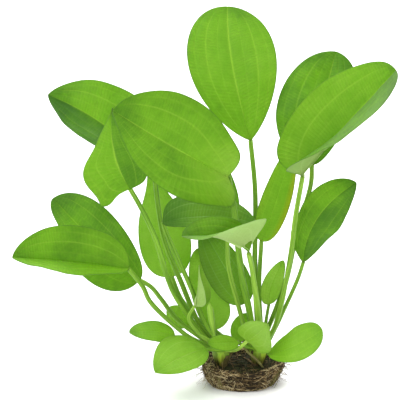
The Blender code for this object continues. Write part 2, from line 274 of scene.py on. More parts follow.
class Recipe:
    """A material's node tree, put together one node at a time."""

    def __init__(self, name: str) -> None:
        """Starts a material with an empty tree.

        Args:
            name: the material's name.
        """
        self.material = bpy.data.materials.new(name)
        self.material.use_nodes = True
        self.tree = self.material.node_tree
        self.tree.nodes.clear()

    def node(self, kind: str, inputs: dict[str | int, object], **settings: object) -> bpy.types.Node:
        """Adds a node.

        Args:
            kind: the node's type name, without ShaderNode.
            inputs: a socket to link or a value to set, for each input.
            settings: the node's own properties.

        Returns:
            The new node.
        """
        made = self.tree.nodes.new("ShaderNode" + kind)
        for key, value in settings.items():
            setattr(made, key, value)
        for key, value in inputs.items():
            if isinstance(value, bpy.types.NodeSocket):
                self.tree.links.new(value, made.inputs[key])
            else:
                made.inputs[key].default_value = value
        return made

    def value(self, name: str) -> Socket:
        """The piece's own number of that name."""
        return self.node("Attribute", {}, attribute_name=name).outputs["Fac"]

    def place(self, name: str) -> Socket:
        """The piece's own vector of that name."""
        return self.node("Attribute", {}, attribute_name=name).outputs["Vector"]

    def object_place(self) -> Socket:
        """The point itself, in metres from the plant's origin."""
        return self.node("TexCoord", {}).outputs["Object"]

    def noise(self, place: Socket, scale: float, detail: float = 2.0, roughness: float = 0.5) -> Socket:
        """Cloudy values from 0 to 1."""
        inputs = {"Vector": place, "Scale": scale, "Detail": detail, "Roughness": roughness}
        return self.node("TexNoise", inputs).outputs["Fac"]

    def scaled(self, place: Socket, by: Point) -> Socket:
        """A place multiplied along each axis."""
        return self.node("Mapping", {"Vector": place, "Scale": by}).outputs["Vector"]

    def spread(self, factor: Socket, low: float, high: float, to_low: float, to_high: float) -> Socket:
        """A number moved from one range to another and held there."""
        inputs = {"Value": factor, "From Min": low, "From Max": high, "To Min": to_low, "To Max": to_high}
        return self.node("MapRange", inputs).outputs["Result"]

    def times(self, a: Socket, b: Socket | float) -> Socket:
        """The product of two numbers."""
        return self.node("Math", {0: a, 1: b}, operation="MULTIPLY").outputs[0]

    def plus(self, a: Socket, b: Socket | float) -> Socket:
        """The sum of two numbers."""
        return self.node("Math", {0: a, 1: b}, operation="ADD").outputs[0]

    def blend(self, factor: Socket | float, a: Socket | Colour, b: Socket | Colour,
              way: str = "MIX") -> Socket:
        """Two colours mixed.

        Args:
            factor: how much of the second.
            a: the first colour.
            b: the second colour.
            way: Blender's name for the mixing.

        Returns:
            The mixed colour.
        """
        full = [c if isinstance(c, bpy.types.NodeSocket) else (*c, 1.0) for c in (a, b)]
        inputs = {0: factor, 6: full[0], 7: full[1]}
        return self.node("Mix", inputs, data_type="RGBA", blend_type=way).outputs[2]

    def product(self, a: Socket | Colour, b: Socket | Colour) -> Socket:
        """Two colours multiplied."""
        return self.blend(1.0, a, b, "MULTIPLY")

    def ramp(self, factor: Socket, stops: Stops) -> Socket:
        """A colour read from stops along a line, straight between two of them.

        Args:
            factor: where to read, 0 to 1.
            stops: places and their colours.

        Returns:
            The colour.
        """
        made = self.node("ValToRGB", {0: factor})
        elements = made.color_ramp.elements
        while len(elements) < len(stops):
            elements.new(0.5)
        for element, (place, colour) in zip(elements, stops):
            element.position = place
            element.color = (*colour, 1.0)
        return made.outputs["Color"]

    def bump(self, height: Socket, depth_mm: float) -> Socket:
        """A normal tilted by a height from 0 to 1, as deep as depth_mm."""
        return self.node("Bump", {"Height": height, "Distance": depth_mm * MM}).outputs["Normal"]

    def finish(self, colour: Socket, roughness: Socket | float, normal: Socket | None, shine: float,
               glow: Socket | None = None, glow_share: float = 0.0) -> Material:
        """Ends the tree in a dielectric, with light let through where glow is given.

        Args:
            colour: the base colour.
            roughness: the gloss.
            normal: the bumped normal, or None.
            shine: the specular level.
            glow: the colour of light that comes through.
            glow_share: how much of the surface lets light through.

        Returns:
            The material.
        """
        inputs = {"Base Color": colour, "Roughness": roughness, "Specular IOR Level": shine}
        bumped = {} if normal is None else {"Normal": normal}
        shader = self.node("BsdfPrincipled", inputs | bumped).outputs[0]
        if glow is not None:
            lit = self.node("BsdfTranslucent", {"Color": glow} | bumped).outputs[0]
            shader = self.node("MixShader", {0: glow_share, 1: shader, 2: lit}).outputs[0]
        self.node("OutputMaterial", {"Surface": shader})
        return self.material


@dataclass(frozen=True)
class BladeFinish:
    """One side of a blade: blotchy green, cross veins like ripples, pale long veins, a dark margin.

    The tones run from a dark green to a light one. They are read by a value that is partly the
    blade's own tone and partly painted light and shade, and glow_tint makes the colour of the light
    that comes through from the tone. Crossing is how strongly the cross veins show, and each kind of
    them has a scale and a distortion. A scale counts per millimetre, so a larger one is a finer pattern.
    """

    name: str
    tones: Stops
    vein: Colour
    margin: Colour
    glow_tint: Colour = (1.15, 1.45, 0.9)
    glow_share: float = 0.40
    crossing: float = 0.24
    relief_mm: float = 0.14
    gloss: Pair = (0.38, 0.52)
    shine: float = 0.13
    cloud_scale: float = 0.05
    patch_scale: float = 0.10
    blotch_scale: float = 0.26
    mottle_scale: float = 1.1
    coarse_veins: Pair = (0.17, 3.5)
    fine_veins: Pair = (0.36, 4.0)
    mottle_shade: Stops = ((0.25, (0.92, 0.94, 0.88)), (0.75, (1.06, 1.04, 1.15)))

    def material(self) -> Material:
        """The finish as nodes, which read the blade's own places, lightness, painted sheen, veins and margin.

        Cross veins, long veins and the margin are blended over the green one after another, and the
        relief is three parts of the cross veins to one of the mottle. Darker halves, whether by their own
        tone or by painted shade, are calmer: their veins show less.

        Returns:
            The material.
        """
        r = Recipe(self.name)
        # The lightness value is partly the blade's own tone and partly painted light and shade.
        place, tone_and_painted_light = r.place("leaf_place"), r.value("tone_and_painted_light")
        mottle = r.noise(place, self.mottle_scale, 2.0, 0.6)
        # Veins show less where the green is darker, whether by its own tone or by painted shade.
        calm = r.spread(tone_and_painted_light, 0.1, 0.6, 0.35, 1.0)
        lines = r.times(self.cross_veins(r, place), calm)
        green = self.green(r, place, tone_and_painted_light, mottle)
        colour = r.blend(r.times(lines, self.crossing), green, self.vein)
        colour = r.blend(r.times(r.value("vein"), calm), colour, self.vein)
        colour = r.blend(r.value("edge"), colour, self.margin)
        height = r.plus(r.times(lines, 0.75), r.times(mottle, 0.25))
        roughness = r.spread(mottle, 0.3, 0.7, *self.gloss)
        glow = r.product(green, self.glow_tint)
        return r.finish(colour, roughness, r.bump(height, self.relief_mm), self.shine, glow, self.glow_share)

    def green(self, r: Recipe, place: Socket, tone_and_painted_light: Socket, mottle: Socket) -> Socket:
        """The green under the veins.

        The lightness, which is partly the blade's own tone and partly painted light and shade, plus broad
        clouds and smaller blotches, is read from the tones and multiplied by the mottle's shade. It is then
        yellowed where the blade ages and greyed by a painted sheen.

        Args:
            r: the tree under way.
            place: the place on the blade.
            tone_and_painted_light: how light the green is, partly its own tone and partly painted light and
                shade.
            mottle: fine cloudy values.

        Returns:
            The colour.
        """
        cloud = r.spread(r.noise(place, self.cloud_scale, 2.0), 0.3, 0.7, -0.08, 0.08)
        blotch = r.spread(r.noise(place, self.blotch_scale, 3.0, 0.6), 0.3, 0.7, -0.06, 0.06)
        tone = r.ramp(r.plus(r.plus(tone_and_painted_light, cloud), blotch), self.tones)
        tone = r.product(tone, r.ramp(mottle, self.mottle_shade))
        tone = r.blend(r.value("yellow"), tone, AGED)
        # A painted sheen greys the green towards a pale grey-green.
        return r.blend(r.value("painted_sheen"), tone, PAINTED_SHEEN)

    def cross_veins(self, r: Recipe, place: Socket) -> Socket:
        """The veins across the blade: seven parts of coarse lines to three of fine, stronger in patches.

        Args:
            r: the tree under way.
            place: the place on the blade.

        Returns:
            Their strength from 0 to 1.
        """
        coarse, fine = (self.lines(r, *veins) for veins in (self.coarse_veins, self.fine_veins))
        patches = r.spread(r.noise(place, self.patch_scale), 0.35, 0.6, 0.3, 1.0)
        return r.times(r.plus(r.times(coarse, 0.7), r.times(fine, 0.3)), patches)

    @staticmethod
    def lines(r: Recipe, scale: float, distortion: float) -> Socket:
        """Uneven lines across the blade: bands along leaf_net, a place that slants to the tip.

        Args:
            r: the tree under way.
            scale: how close the lines are.
            distortion: how unevenly they run.

        Returns:
            The lines' strength from 0 to 1.
        """
        inputs = {"Vector": r.place("leaf_net"), "Scale": scale, "Distortion": distortion,
                  "Detail": 2.0, "Detail Scale": 0.25}
        wave = r.node("TexWave", inputs, wave_type="BANDS", bands_direction="Y").outputs["Fac"]
        return r.spread(wave, 0.25, 0.95, 0.0, 1.0)


@dataclass(frozen=True)
class StalkFinish:
    """A stalk: brown, darkened by painted shade near the soil, and then pale where it clasps the crown,
    streaked green above, some much paler.

    The stops are read by the stalk's height value, 0 at the soil and 1 at the blade. The darkest
    browns near 0 are the sheath's own brown with painted shade. Streaks and fine lines are long along
    the stalk: their scales are for the way round, the way along and the stalk's own offset.
    """

    name: str
    stops: Stops
    pale: Colour
    dark: Colour
    glow_tint: Colour = (1.1, 1.3, 0.8)
    glow_share: float = 0.15
    streak_scale: Point = (1.1, 0.03, 1.0)
    fine_scale: Point = (5.0, 0.25, 1.0)
    relief_mm: float = 0.10
    gloss: Pair = (0.34, 0.48)
    shine: float = 0.18
    fine_shade: Stops = ((0.3, (0.88, 0.90, 0.86)), (0.7, (1.10, 1.08, 1.15)))
    dry_shade: Stops = ((0.36, (0.45, 0.40, 0.36)), (0.50, (1.0, 1.0, 1.0)), (0.64, (1.7, 1.55, 1.4)))
    base_shade: Stops = ((0.0, (0.42, 0.48, 0.42)), (0.5, (1.0, 1.0, 1.0)), (1.0, (1.8, 1.8, 1.2)))

    def material(self) -> Material:
        """The finish as nodes, which read the stalk's own stalk_place, height, pale and base.

        The colour by height turns to the pale one by the stalk's own paleness, and to the dark one
        along the streaks, less on a pale stalk. The fine lines, the dry streaks low down and the
        base's own lightness are multiplied in.

        Returns:
            The material.
        """
        r = Recipe(self.name)
        place, height, pale = r.place("stalk_place"), r.value("height"), r.value("pale")
        streak = r.noise(r.scaled(place, self.streak_scale), 1.0, 3.0, 0.6)
        fine = r.noise(r.scaled(place, self.fine_scale), 1.0, 2.0)
        # By height: brown with painted shade near the soil, then pale, then green.
        colour = r.ramp(height, self.stops)
        colour = r.blend(r.times(pale, r.spread(height, 0.34, 0.6, 0.0, 1.0)), colour, self.pale)
        streaked = r.times(r.spread(streak, 0.4, 0.62, 0.0, 0.8), r.spread(height, 0.25, 0.5, 0.1, 1.0))
        streaked = r.times(streaked, r.spread(pale, 0.2, 0.9, 1.0, 0.35))
        colour = r.blend(streaked, colour, self.dark)
        colour = r.product(colour, r.ramp(fine, self.fine_shade))
        dry = r.product(colour, r.ramp(streak, self.dry_shade))
        colour = r.blend(r.spread(height, 0.2, 0.5, 1.0, 0.0), colour, dry)
        base = r.product(colour, r.ramp(r.value("base"), self.base_shade))
        colour = r.blend(r.spread(height, 0.4, 0.6, 1.0, 0.0), colour, base)
        relief = r.bump(r.plus(r.times(streak, 0.5), r.times(fine, 0.5)), self.relief_mm)
        roughness = r.spread(fine, 0.3, 0.7, *self.gloss)
        glow = r.product(colour, self.glow_tint)
        return r.finish(colour, roughness, relief, self.shine, glow, self.glow_share)


@dataclass(frozen=True)
class FibreFinish:
    """Roots and fibres: each has a tone between a dark and a pale end, to which painted light and shade are
    added on the mat's wall, shifted in clouds.
    """

    name: str
    tones: Stops
    cloud_scale: float = 210.0
    grain_scale: float = 2600.0
    relief_mm: float = 0.08
    gloss: Pair = (0.62, 0.86)
    shine: float = 0.2
    grain_shade: Stops = ((0.3, (0.72, 0.72, 0.72)), (0.7, (1.15, 1.12, 1.10)))

    def material(self) -> Material:
        """The finish as nodes: each fibre's tone plus a cloud, read from the tones, times a grain.

        Returns:
            The material.
        """
        r = Recipe(self.name)
        place = r.object_place()
        cloud = r.noise(place, self.cloud_scale, 3.0)
        grain = r.noise(place, self.grain_scale, 2.0)
        colour = r.ramp(r.plus(r.value("tone"), r.spread(cloud, 0.35, 0.65, -0.26, 0.22)), self.tones)
        colour = r.product(colour, r.ramp(grain, self.grain_shade))
        roughness = r.spread(grain, 0.3, 0.7, *self.gloss)
        return r.finish(colour, roughness, r.bump(grain, self.relief_mm), self.shine)


@dataclass(frozen=True)
class EarthFinish:
    """Soil, mat and crown: three tones in clouds of two sizes, with a grainy relief."""

    name: str
    tones: Stops
    cloud_scale: float
    grain_scale: float
    relief_mm: float
    stretch: Point = (1.0, 1.0, 1.0)
    gloss: Pair = (0.7, 0.95)
    shine: float = 0.15

    def material(self) -> Material:
        """The finish as nodes on the plant's own coordinates.

        The tone is three parts of the cloud to two of the grain, and the relief is half of each.

        Returns:
            The material.
        """
        r = Recipe(self.name)
        place = r.scaled(r.object_place(), self.stretch)
        cloud = r.noise(place, self.cloud_scale, 4.0, 0.6)
        grain = r.noise(place, self.grain_scale, 3.0, 0.65)
        colour = r.ramp(r.plus(r.times(cloud, 0.6), r.times(grain, 0.4)), self.tones)
        relief = r.bump(r.plus(r.times(cloud, 0.5), r.times(grain, 0.5)), self.relief_mm)
        return r.finish(colour, r.spread(grain, 0.3, 0.7, *self.gloss), relief, self.shine)


@dataclass(frozen=True)
class StudioFinish:
    """The pale floor: plain, with the faintest unevenness."""

    name: str
    colour: Colour
    cloud_shade: Stops = ((0.3, (0.985, 0.985, 0.985)), (0.7, (1.0, 1.0, 1.0)))

    def material(self) -> Material:
        """The finish as nodes: the colour times a shade read from a cloud.

        Returns:
            The material.
        """
        r = Recipe(self.name)
        shade = r.ramp(r.noise(r.object_place(), 3.0), self.cloud_shade)
        return r.finish(r.product(self.colour, shade), 0.8, None, 0.1)


Finish = BladeFinish | StalkFinish | FibreFinish | EarthFinish | StudioFinish

AGED = (0.36, 0.38, 0.012)
# The pale grey-green of a painted sheen on a blade.
PAINTED_SHEEN = (0.50, 0.60, 0.34)
MARGIN = (0.075, 0.150, 0.022)
UPPER = BladeFinish("leaf_upper", ((0.0, (0.040, 0.130, 0.008)), (0.25, (0.078, 0.205, 0.009)),
                                   (0.5, (0.141, 0.315, 0.011)), (0.75, (0.190, 0.370, 0.018)),
                                   (1.0, (0.260, 0.430, 0.045))), (0.30, 0.50, 0.04), MARGIN)
UNDER = BladeFinish("leaf_under", ((0.0, (0.24, 0.38, 0.08)), (1.0, (0.40, 0.54, 0.18))), (0.48, 0.62, 0.24),
                    MARGIN, gloss=(0.5, 0.62))
# The shaded finishes are the leaf finish with painted shade: darker greens for blades that lie under other
# leaves.
SHADED_UPPER = BladeFinish("shaded_leaf_upper", ((0.0, (0.030, 0.105, 0.010)), (0.5, (0.072, 0.190, 0.014)),
                                                 (1.0, (0.150, 0.320, 0.016))), (0.23, 0.43, 0.09), MARGIN,
                           glow_share=0.30, shine=0.08)
SHADED_UNDER = BladeFinish("shaded_leaf_under", ((0.0, (0.11, 0.25, 0.03)), (1.0, (0.22, 0.40, 0.07))),
                           (0.30, 0.50, 0.10), MARGIN, glow_share=0.30, gloss=(0.5, 0.62))
YOUNG_UPPER = BladeFinish("young_leaf_upper", ((0.0, (0.15, 0.32, 0.016)), (0.5, (0.24, 0.42, 0.035)),
                                               (1.0, (0.32, 0.50, 0.09))), (0.42, 0.60, 0.12),
                          (0.20, 0.33, 0.05), crossing=0.14)
YOUNG_UNDER = BladeFinish("young_leaf_under", ((0.0, (0.24, 0.42, 0.05)), (0.44, (0.37, 0.51, 0.15)),
                                               (1.0, (0.44, 0.57, 0.20))),
                          (0.52, 0.65, 0.26), (0.34, 0.46, 0.16), crossing=0.14, gloss=(0.5, 0.62))
# The lowest stops darken towards the soil: the sheath's own brown with painted shade.
STALK = StalkFinish("stalk", ((0.0, (0.050, 0.038, 0.014)), (0.12, (0.10, 0.095, 0.024)),
                              (0.24, (0.165, 0.21, 0.030)), (0.40, (0.27, 0.43, 0.045)),
                              (0.64, (0.170, 0.350, 0.018)), (0.88, (0.150, 0.330, 0.018)),
                              (1.0, (0.20, 0.39, 0.03))),
                    (0.36, 0.56, 0.075), (0.085, 0.215, 0.012))
CROWN = EarthFinish("crown", ((0.30, (0.035, 0.026, 0.010)), (0.50, (0.10, 0.085, 0.026)),
                              (0.72, (0.22, 0.20, 0.065))),
                    190.0, 900.0, 0.25, (1.0, 1.0, 0.35), (0.45, 0.7))
MAT = EarthFinish("root_mat", ((0.30, (0.012, 0.010, 0.004)), (0.5, (0.042, 0.034, 0.014)),
                               (0.74, (0.105, 0.082, 0.034))), 140.0, 1400.0, 0.5)
SOIL = EarthFinish("soil", ((0.32, (0.008, 0.010, 0.004)), (0.52, (0.024, 0.028, 0.008)),
                            (0.75, (0.060, 0.058, 0.018))), 260.0, 1700.0, 0.45)
FIBRE = FibreFinish("root_fibre", ((0.0, (0.022, 0.015, 0.006)), (0.3, (0.088, 0.058, 0.022)),
                                   (0.65, (0.26, 0.178, 0.075)), (1.0, (0.58, 0.49, 0.27))))
PALE_ROOT = FibreFinish("pale_root", ((0.0, (0.06, 0.048, 0.016)), (0.5, (0.17, 0.165, 0.050)),
                                      (1.0, (0.34, 0.30, 0.13))))
FLOOR = StudioFinish("floor", (0.93, 0.93, 0.93))


class Tone(Enum):
    """The kinds of blade, each with its record slot and its finishes above and below."""

    MATURE = ("leaf", UPPER, UNDER)
    # SHADED is the leaf finish with painted shade, for blades under other leaves.
    SHADED = ("shaded_leaf", SHADED_UPPER, SHADED_UNDER)
    YOUNG = ("young_leaf", YOUNG_UPPER, YOUNG_UNDER)
    TURNED = ("young_leaf", UPPER, YOUNG_UNDER)


class Detail(Enum):
    """How finely a leaf is gridded: the rows of its blade and of its stalk."""

    BIG = (96, 64)
    MIDDLE = (64, 48)
    SMALL = (44, 32)


class Palette:
    """Makes each finish's material once."""

    def __init__(self) -> None:
        """Starts with no material made."""
        self.made: dict[str, Material] = {}

    def get(self, finish: Finish) -> Material:
        """The material of a finish, made the first time that it is asked for.

        Args:
            finish: the finish.

        Returns:
            Its material.
        """
        if finish.name not in self.made:
            self.made[finish.name] = finish.material()
        return self.made[finish.name]


# Across a blade, 0 at the rib and 1 at the margin: the long veins' places and strengths, half a
# vein's width, and the columns between veins.
LONG_VEINS = ((0.0, 1.0), (0.28, 0.22), (0.56, 0.60), (0.82, 0.25))
VEIN_SPAN = 0.014
BETWEEN_VEINS = (0.06, 0.12, 0.19, 0.35, 0.42, 0.49, 0.64, 0.70, 0.76, 0.89, 0.93, 0.965, 0.985, 1.0)

# A blade's relief: the width from which it is at its full height, how high the quilting and the
# puckers are, how long a pucker is, and the rounding over the rib.
FULL_WIDTH = 50
QUILT_RISE = 0.17
PUCKER_RISE = 0.42
PUCKER_LENGTH = 18.0
RIB_ROUNDING = 0.9

# A blade's thickness: half of it at the margin and further in, the keel as a share of the stalk's
# radius and at the tip, the ridge under a vein and the grooves over a vein and over the midrib. The
# dark line in the margin is as wide as MARGIN_LINE.
MARGIN_HALF = 0.10
LAMINA_HALF = 0.17
KEEL_SHARE = 0.62
KEEL_TIP = 0.22
VEIN_RIDGE = 0.16
VEIN_GROOVE = 0.06
RIB_GROOVE = 0.14
MARGIN_LINE = 0.8

# Where leaves stand: the crowns' middles and top, and how far out a seat is on them.
CROWN_LEFT = (-14.5, -3.0)
CROWN_RIGHT = (8.0, 0.0)
CROWN_TOP = 20.0
FIT_GAP = 0.3
INNER = 2.2
OUTER = 4.7
SOIL_TOP = 11.6

# A stalk's foot at an inner and at an outer seat: how deep below the seat, and what share of that in.
INNER_FOOT = (1.5, 0.10)
OUTER_FOOT = (8.6, 0.24)

# A stalk: its first rise, its radius at the foot, where along it has its full radius and its taper
# from there, the sheath's length and how much wider and thicker it is, the channel's depth as a share
# of the radius and its width in radians, and how far over the soil the height value would reach 1.
STALK_RISE = 2.5
STALK_FOOT_R = 0.95
STALK_FULL = 0.3
STALK_TOP_TAPER = 0.15
STALK_SIDES = 24
SHEATH_LENGTH = 11.0
SHEATH_WIDER = 1.35
SHEATH_THICKER = 0.15
CHANNEL_DEPTH = 0.42
CHANNEL_WIDTH = 0.55
HEIGHT_SPAN = 24

ROLLED_ROUTE = ((-15.3, -5.2, 20.5), (-17.6, -9.6, 29), (-19.8, -11.8, 38), (-21.2, -12.4, 47),
                (-22.2, -12.6, 54.5))


def blade_columns() -> Array:
    """Places across a blade from the left margin to the right, close together at each long vein.

    A vein has five columns: on it, at one of its half widths and at 2.2 of them to each side.

    Returns:
        The places, from -1 to 1.
    """
    steps = np.array([-2.2, -1, 0, 1, 2.2]) * VEIN_SPAN
    near = np.concatenate([place + steps for place, _ in LONG_VEINS] + [BETWEEN_VEINS])
    half = np.unique(np.round(near[near >= 0], 5))
    return np.concatenate([-half[:0:-1], half])


@dataclass(frozen=True)
class Leaf:
    """One leaf: its stalk's seat and route, and its blade's form, as in the construction.

    The seat is a radius and an angle on its crown, the rib runs joint, middle, tip, and face is the
    way the upper side looks. Pairs are left and right, except the folds, which are degrees that a
    half is raised, at the base and at the tip. A bulge in the margin has a side (-1 left, 1 right),
    its place along the rib, its share of the half width and its spread. How light the green of each
    half is comes partly from the leaf's own tone and partly from painted light and shade. A further
    amount lightens the green at the joint with painted light, or darkens it there with painted shade.
    Wave is the margin's height on a blade 50 wide and its number of crests. Pillow is how far each
    half rises. Ageing yellows a margin, and a painted sheen greys a half from its first quarter on.
    Fan draws the veins together at the joint, tuck is how far behind the joint the stalk ends, pale is
    how pale the stalk is, base is how light its lower part is, and rib_width widens the midrib's pale line.
    """

    name: str
    crown: Pair
    seat: Pair
    via: tuple[Point, ...]
    rib: tuple[Point, Point, Point]
    width: float
    face: Point
    fold_left: Pair = (0, 0)
    fold_right: Pair = (0, 0)
    fold_power: float = 1.0
    share: Pair = (1.0, 1.0)
    egg: Pair = (0.15, 0.15)
    lobe: Pair = (0.0, 0.0)
    bulges: tuple[tuple[float, float, float, float], ...] = ()
    base_round: float = 0.9
    tip_round: float = 1.1
    stalk_r: float = 1.5
    tone: Tone = Tone.MATURE
    detail: Detail = Detail.MIDDLE
    # How light each half's green is, partly own tone and partly painted light and shade; then painted light
    # or shade at the joint.
    tone_and_painted_light: Pair = (0.5, 0.5)
    painted_light_at_joint: float = 0.0
    wave: Pair = (0.5, 2.2)
    pillow: float = 0.7
    ageing: Pair = (0.0, 0.0)
    # How much a painted sheen greys each half.
    painted_sheen: Pair = (0.0, 0.0)
    fan: float = 0.35
    tuck: float = 0.7
    pale: float = 0.1
    base: float = 0.5
    rib_width: float = 1.0

    @property
    def seed(self) -> int:
        """A number of the leaf's own, from its name."""
        return sum(ord(letter) * (i + 3) for i, letter in enumerate(self.name))

    @property
    def relief_scale(self) -> float:
        """The share of the full relief that a blade of this width has."""
        return min(self.width / FULL_WIDTH, 1.0)

    @property
    def outward(self) -> Array:
        """The way from the crown's middle to the seat."""
        angle = np.radians(self.seat[1])
        return np.array([np.cos(angle), np.sin(angle), 0.0])

    def rib_place(self, along: Array) -> tuple[Array, Array]:
        """Places and directions on the rib.

        The rib is the quadratic through joint, middle and tip, and goes straight on outside it.

        Args:
            along: 0 at the joint and 1 at the tip, of any shape.

        Returns:
            Points and unit directions, each with a last axis of three.
        """
        joint, middle, tip = np.array(self.rib, float)
        t = np.clip(along, 0, 1)[..., None]
        point = joint * (1 - t) * (1 - 2 * t) + middle * 4 * t * (1 - t) + tip * t * (2 * t - 1)
        slope = joint * (4 * t - 3) + middle * (4 - 8 * t) + tip * (4 * t - 1)
        return point + slope * (along[..., None] - t), unit(slope)

    def flat_blade(self, u: Array, s: Array) -> tuple[Array, Array]:
        """The middle surface of the blade, as the construction has it but rounded over the rib.

        The half width is the sine of the way along, raised to the roundness, and egg-shaped. A half
        turns about the rib by its fold, and its lobe reaches back past the joint.

        Args:
            u: (rows, 1), 0 at the joint and 1 at the tip.
            s: the place across, -1 at the left margin and 1 at the right, (rows, columns).

        Returns:
            The points, (rows, columns, 3), and the distance across from the rib, signed.
        """
        right = s > 0
        way = halves(s, (-1.0, 1.0))
        along = eased(u)
        roundness = self.base_round * (1 - u) + self.tip_round * u
        egg = 1 + halves(s, self.egg) * np.cos(np.pi * u)
        half = self.width / 2 * halves(s, self.share) * np.sin(np.pi * u) ** roundness * egg
        for side, place, amount, spread in self.bulges:
            half = half * np.where(right == (side > 0), 1 + amount * bell(along - place, spread), 1.0)
        back = halves(s, self.lobe) * np.sin(np.pi * np.minimum(u / 0.6, 1.0)) ** 2
        origin, forward = self.rib_place(along - back * np.abs(s) ** 1.5)
        face = np.array(self.face, float)
        normal = unit(face - forward * (forward @ face)[..., None])
        across = np.cross(forward, normal) * way[..., None]
        base, tip = (halves(s, pair) for pair in zip(self.fold_left, self.fold_right))
        fold = np.radians(base + (tip - base) * along**self.fold_power)
        reach = np.abs(s) * half
        rise = np.sqrt(reach**2 + RIB_ROUNDING**2) - RIB_ROUNDING
        aside = across * (reach * np.cos(fold))[..., None]
        return origin + aside + normal * (rise * np.sin(fold))[..., None], reach * way

    @staticmethod
    def grid_normals(points: Array) -> Array:
        """Unit normals of a grid: the way across crossed with the way along, by differences."""
        return unit(np.cross(np.gradient(points, axis=1), np.gradient(points, axis=0)))

    def vein_strength(self, u: Array, s: Array) -> tuple[Array, Array]:
        """How strong the long veins are: the strongest of the bells on them.

        The veins beside the midrib fade to the tip.

        Args:
            u: (rows, 1), 0 at the joint and 1 at the tip.
            s: (1, columns), before the veins are drawn together.

        Returns:
            The strength of every vein together, and of the midrib alone.
        """
        fade = 1 - smooth_step((u - 0.72) / 0.26)
        total = np.zeros(np.broadcast(u, s).shape)
        for place, strength in LONG_VEINS:
            line = bell(np.abs(s) - place, VEIN_SPAN * 1.15 * (1.0 if place else self.rib_width))
            total = np.maximum(total, strength * line * (1.0 if place == 0 else fade))
        midrib = bell(np.abs(s), VEIN_SPAN * 1.6) * np.ones_like(total)
        return total, midrib

    def relief(self, points: Array, u: Array, s: Array, columns: Array, phases: Array) -> Array:
        """How far the middle surface rises from its flat form, as the sum of five parts.

        The margin's wave is a sine along the blade times the cube of the way out, and a quicker,
        smaller one rides on it. The pillow is a parabola from the rib to the margin. The quilting is
        half a sine between neighbouring veins, and the puckers are smooth uneven values.

        Args:
            points: the flat blade, (rows, columns, 3).
            u: (rows, 1), 0 at the joint and 1 at the tip.
            s: the place across, (rows, columns).
            columns: the place across before the veins are drawn together, (1, columns).
            phases: where each half's waves begin.

        Returns:
            The rise in millimetres, (rows, columns).
        """
        out, along, body, scale = np.abs(s), eased(u), np.sin(np.pi * u), self.relief_scale
        size, crests = self.wave
        margin_wave = scale * size * out**3 * body**0.6 * np.sin(2 * np.pi * crests * along + phases)
        quick = np.sin(2 * np.pi * 2.1 * crests * along + 2 * phases)
        small_wave = 0.3 * out**2 * margin_wave * quick
        pillow = self.pillow * 4 * out * (1 - out) * body**0.7 * scale
        places = [v for v, _ in LONG_VEINS] + [1.0]
        span = np.abs(columns)
        quilt = sum(np.where((span >= a) & (span < b), np.sin(np.pi * (span - a) / (b - a)), 0.0)
                    for a, b in zip(places, places[1:]))
        quilt = QUILT_RISE * scale * quilt * body**0.5
        pucker = PUCKER_RISE * scale * body * ripple(points, PUCKER_LENGTH, self.seed + 1)
        return margin_wave + small_wave + pillow + quilt + pucker

    def thickness(self, u: Array, s: Array, across: Array, veins: Array,
                  midrib: Array) -> tuple[Array, Array]:
        """How far the upper and the lower side are from the middle surface.

        Both have half the lamina, which thins to the margin with the sixth power of the way out. The
        lower side adds a keel, a bell across the rib that shrinks to the tip, and a ridge at each
        vein. The upper side loses a groove at each vein, and a deeper one at the midrib near the joint.

        Args:
            u: (rows, 1), 0 at the joint and 1 at the tip.
            s: the place across, (rows, columns).
            across: the distance from the rib, signed.
            veins: the strength of every vein.
            midrib: the strength of the midrib alone.

        Returns:
            The thickness over and under the middle surface.
        """
        along, body = eased(u), np.sin(np.pi * u)
        lamina = MARGIN_HALF + (LAMINA_HALF - MARGIN_HALF) * (1 - np.abs(s) ** 6)
        thick = self.stalk_r * KEEL_SHARE
        keel = thick * (1 - smooth_step(along / 0.75)) + KEEL_TIP
        keel_width = 0.5 + thick * (1 - smooth_step(along / 0.6))
        under = lamina + keel * bell(across, keel_width) * body**0.25 + VEIN_RIDGE * self.relief_scale * veins
        over = lamina - VEIN_GROOVE * veins - RIB_GROOVE * midrib * (1 - along)
        return over, under

    def markings(self, points: Array, u: Array, s: Array, across: Array, veins: Array, length: float,
                 offset: float) -> dict[str, Array]:
        """The values that a blade's finishes read.

        The leaf_place is across, along and the leaf's own offset, in millimetres, and leaf_net slants
        its lines towards the tip. The lightness value is partly the leaf's own tone and partly painted
        light and shade. It falls towards the tip, changes towards the joint by painted light or painted
        shade, and is a little uneven. The edge is strongest at the margin, and fades inwards.

        Args:
            points: the middle surface, (rows, columns, 3).
            u: (rows, 1), 0 at the joint and 1 at the tip.
            s: the place across, (rows, columns).
            across: the distance from the rib, signed.
            veins: the strength of every vein.
            length: how long the rib is.
            offset: moves the patterns, so that no two leaves have the same.

        Returns:
            A value for every point of the skin, by name.
        """
        out, along, body, full = np.abs(s), eased(u), np.sin(np.pi * u), np.ones_like(across)
        place = np.stack([across, along * length * full, offset * full], -1)
        net = np.stack([0.3 * across, place[..., 1] - 0.28 * np.abs(across), place[..., 2]], -1)
        yellow = halves(s, self.ageing) * smooth_step((out - 0.45) / 0.5) * body
        # Each half's lightness, partly own tone and partly painted light and shade, falling towards the tip.
        tone_and_painted_light = halves(s, self.tone_and_painted_light) - 0.2 * smooth_step((along - 0.75) / 0.25)
        tone_and_painted_light = tone_and_painted_light + 0.05 * ripple(points, 30.0, self.seed + 2)
        # Painted light or painted shade towards the joint.
        tone_and_painted_light = tone_and_painted_light + self.painted_light_at_joint * smooth_step((0.42 - along) / 0.42)
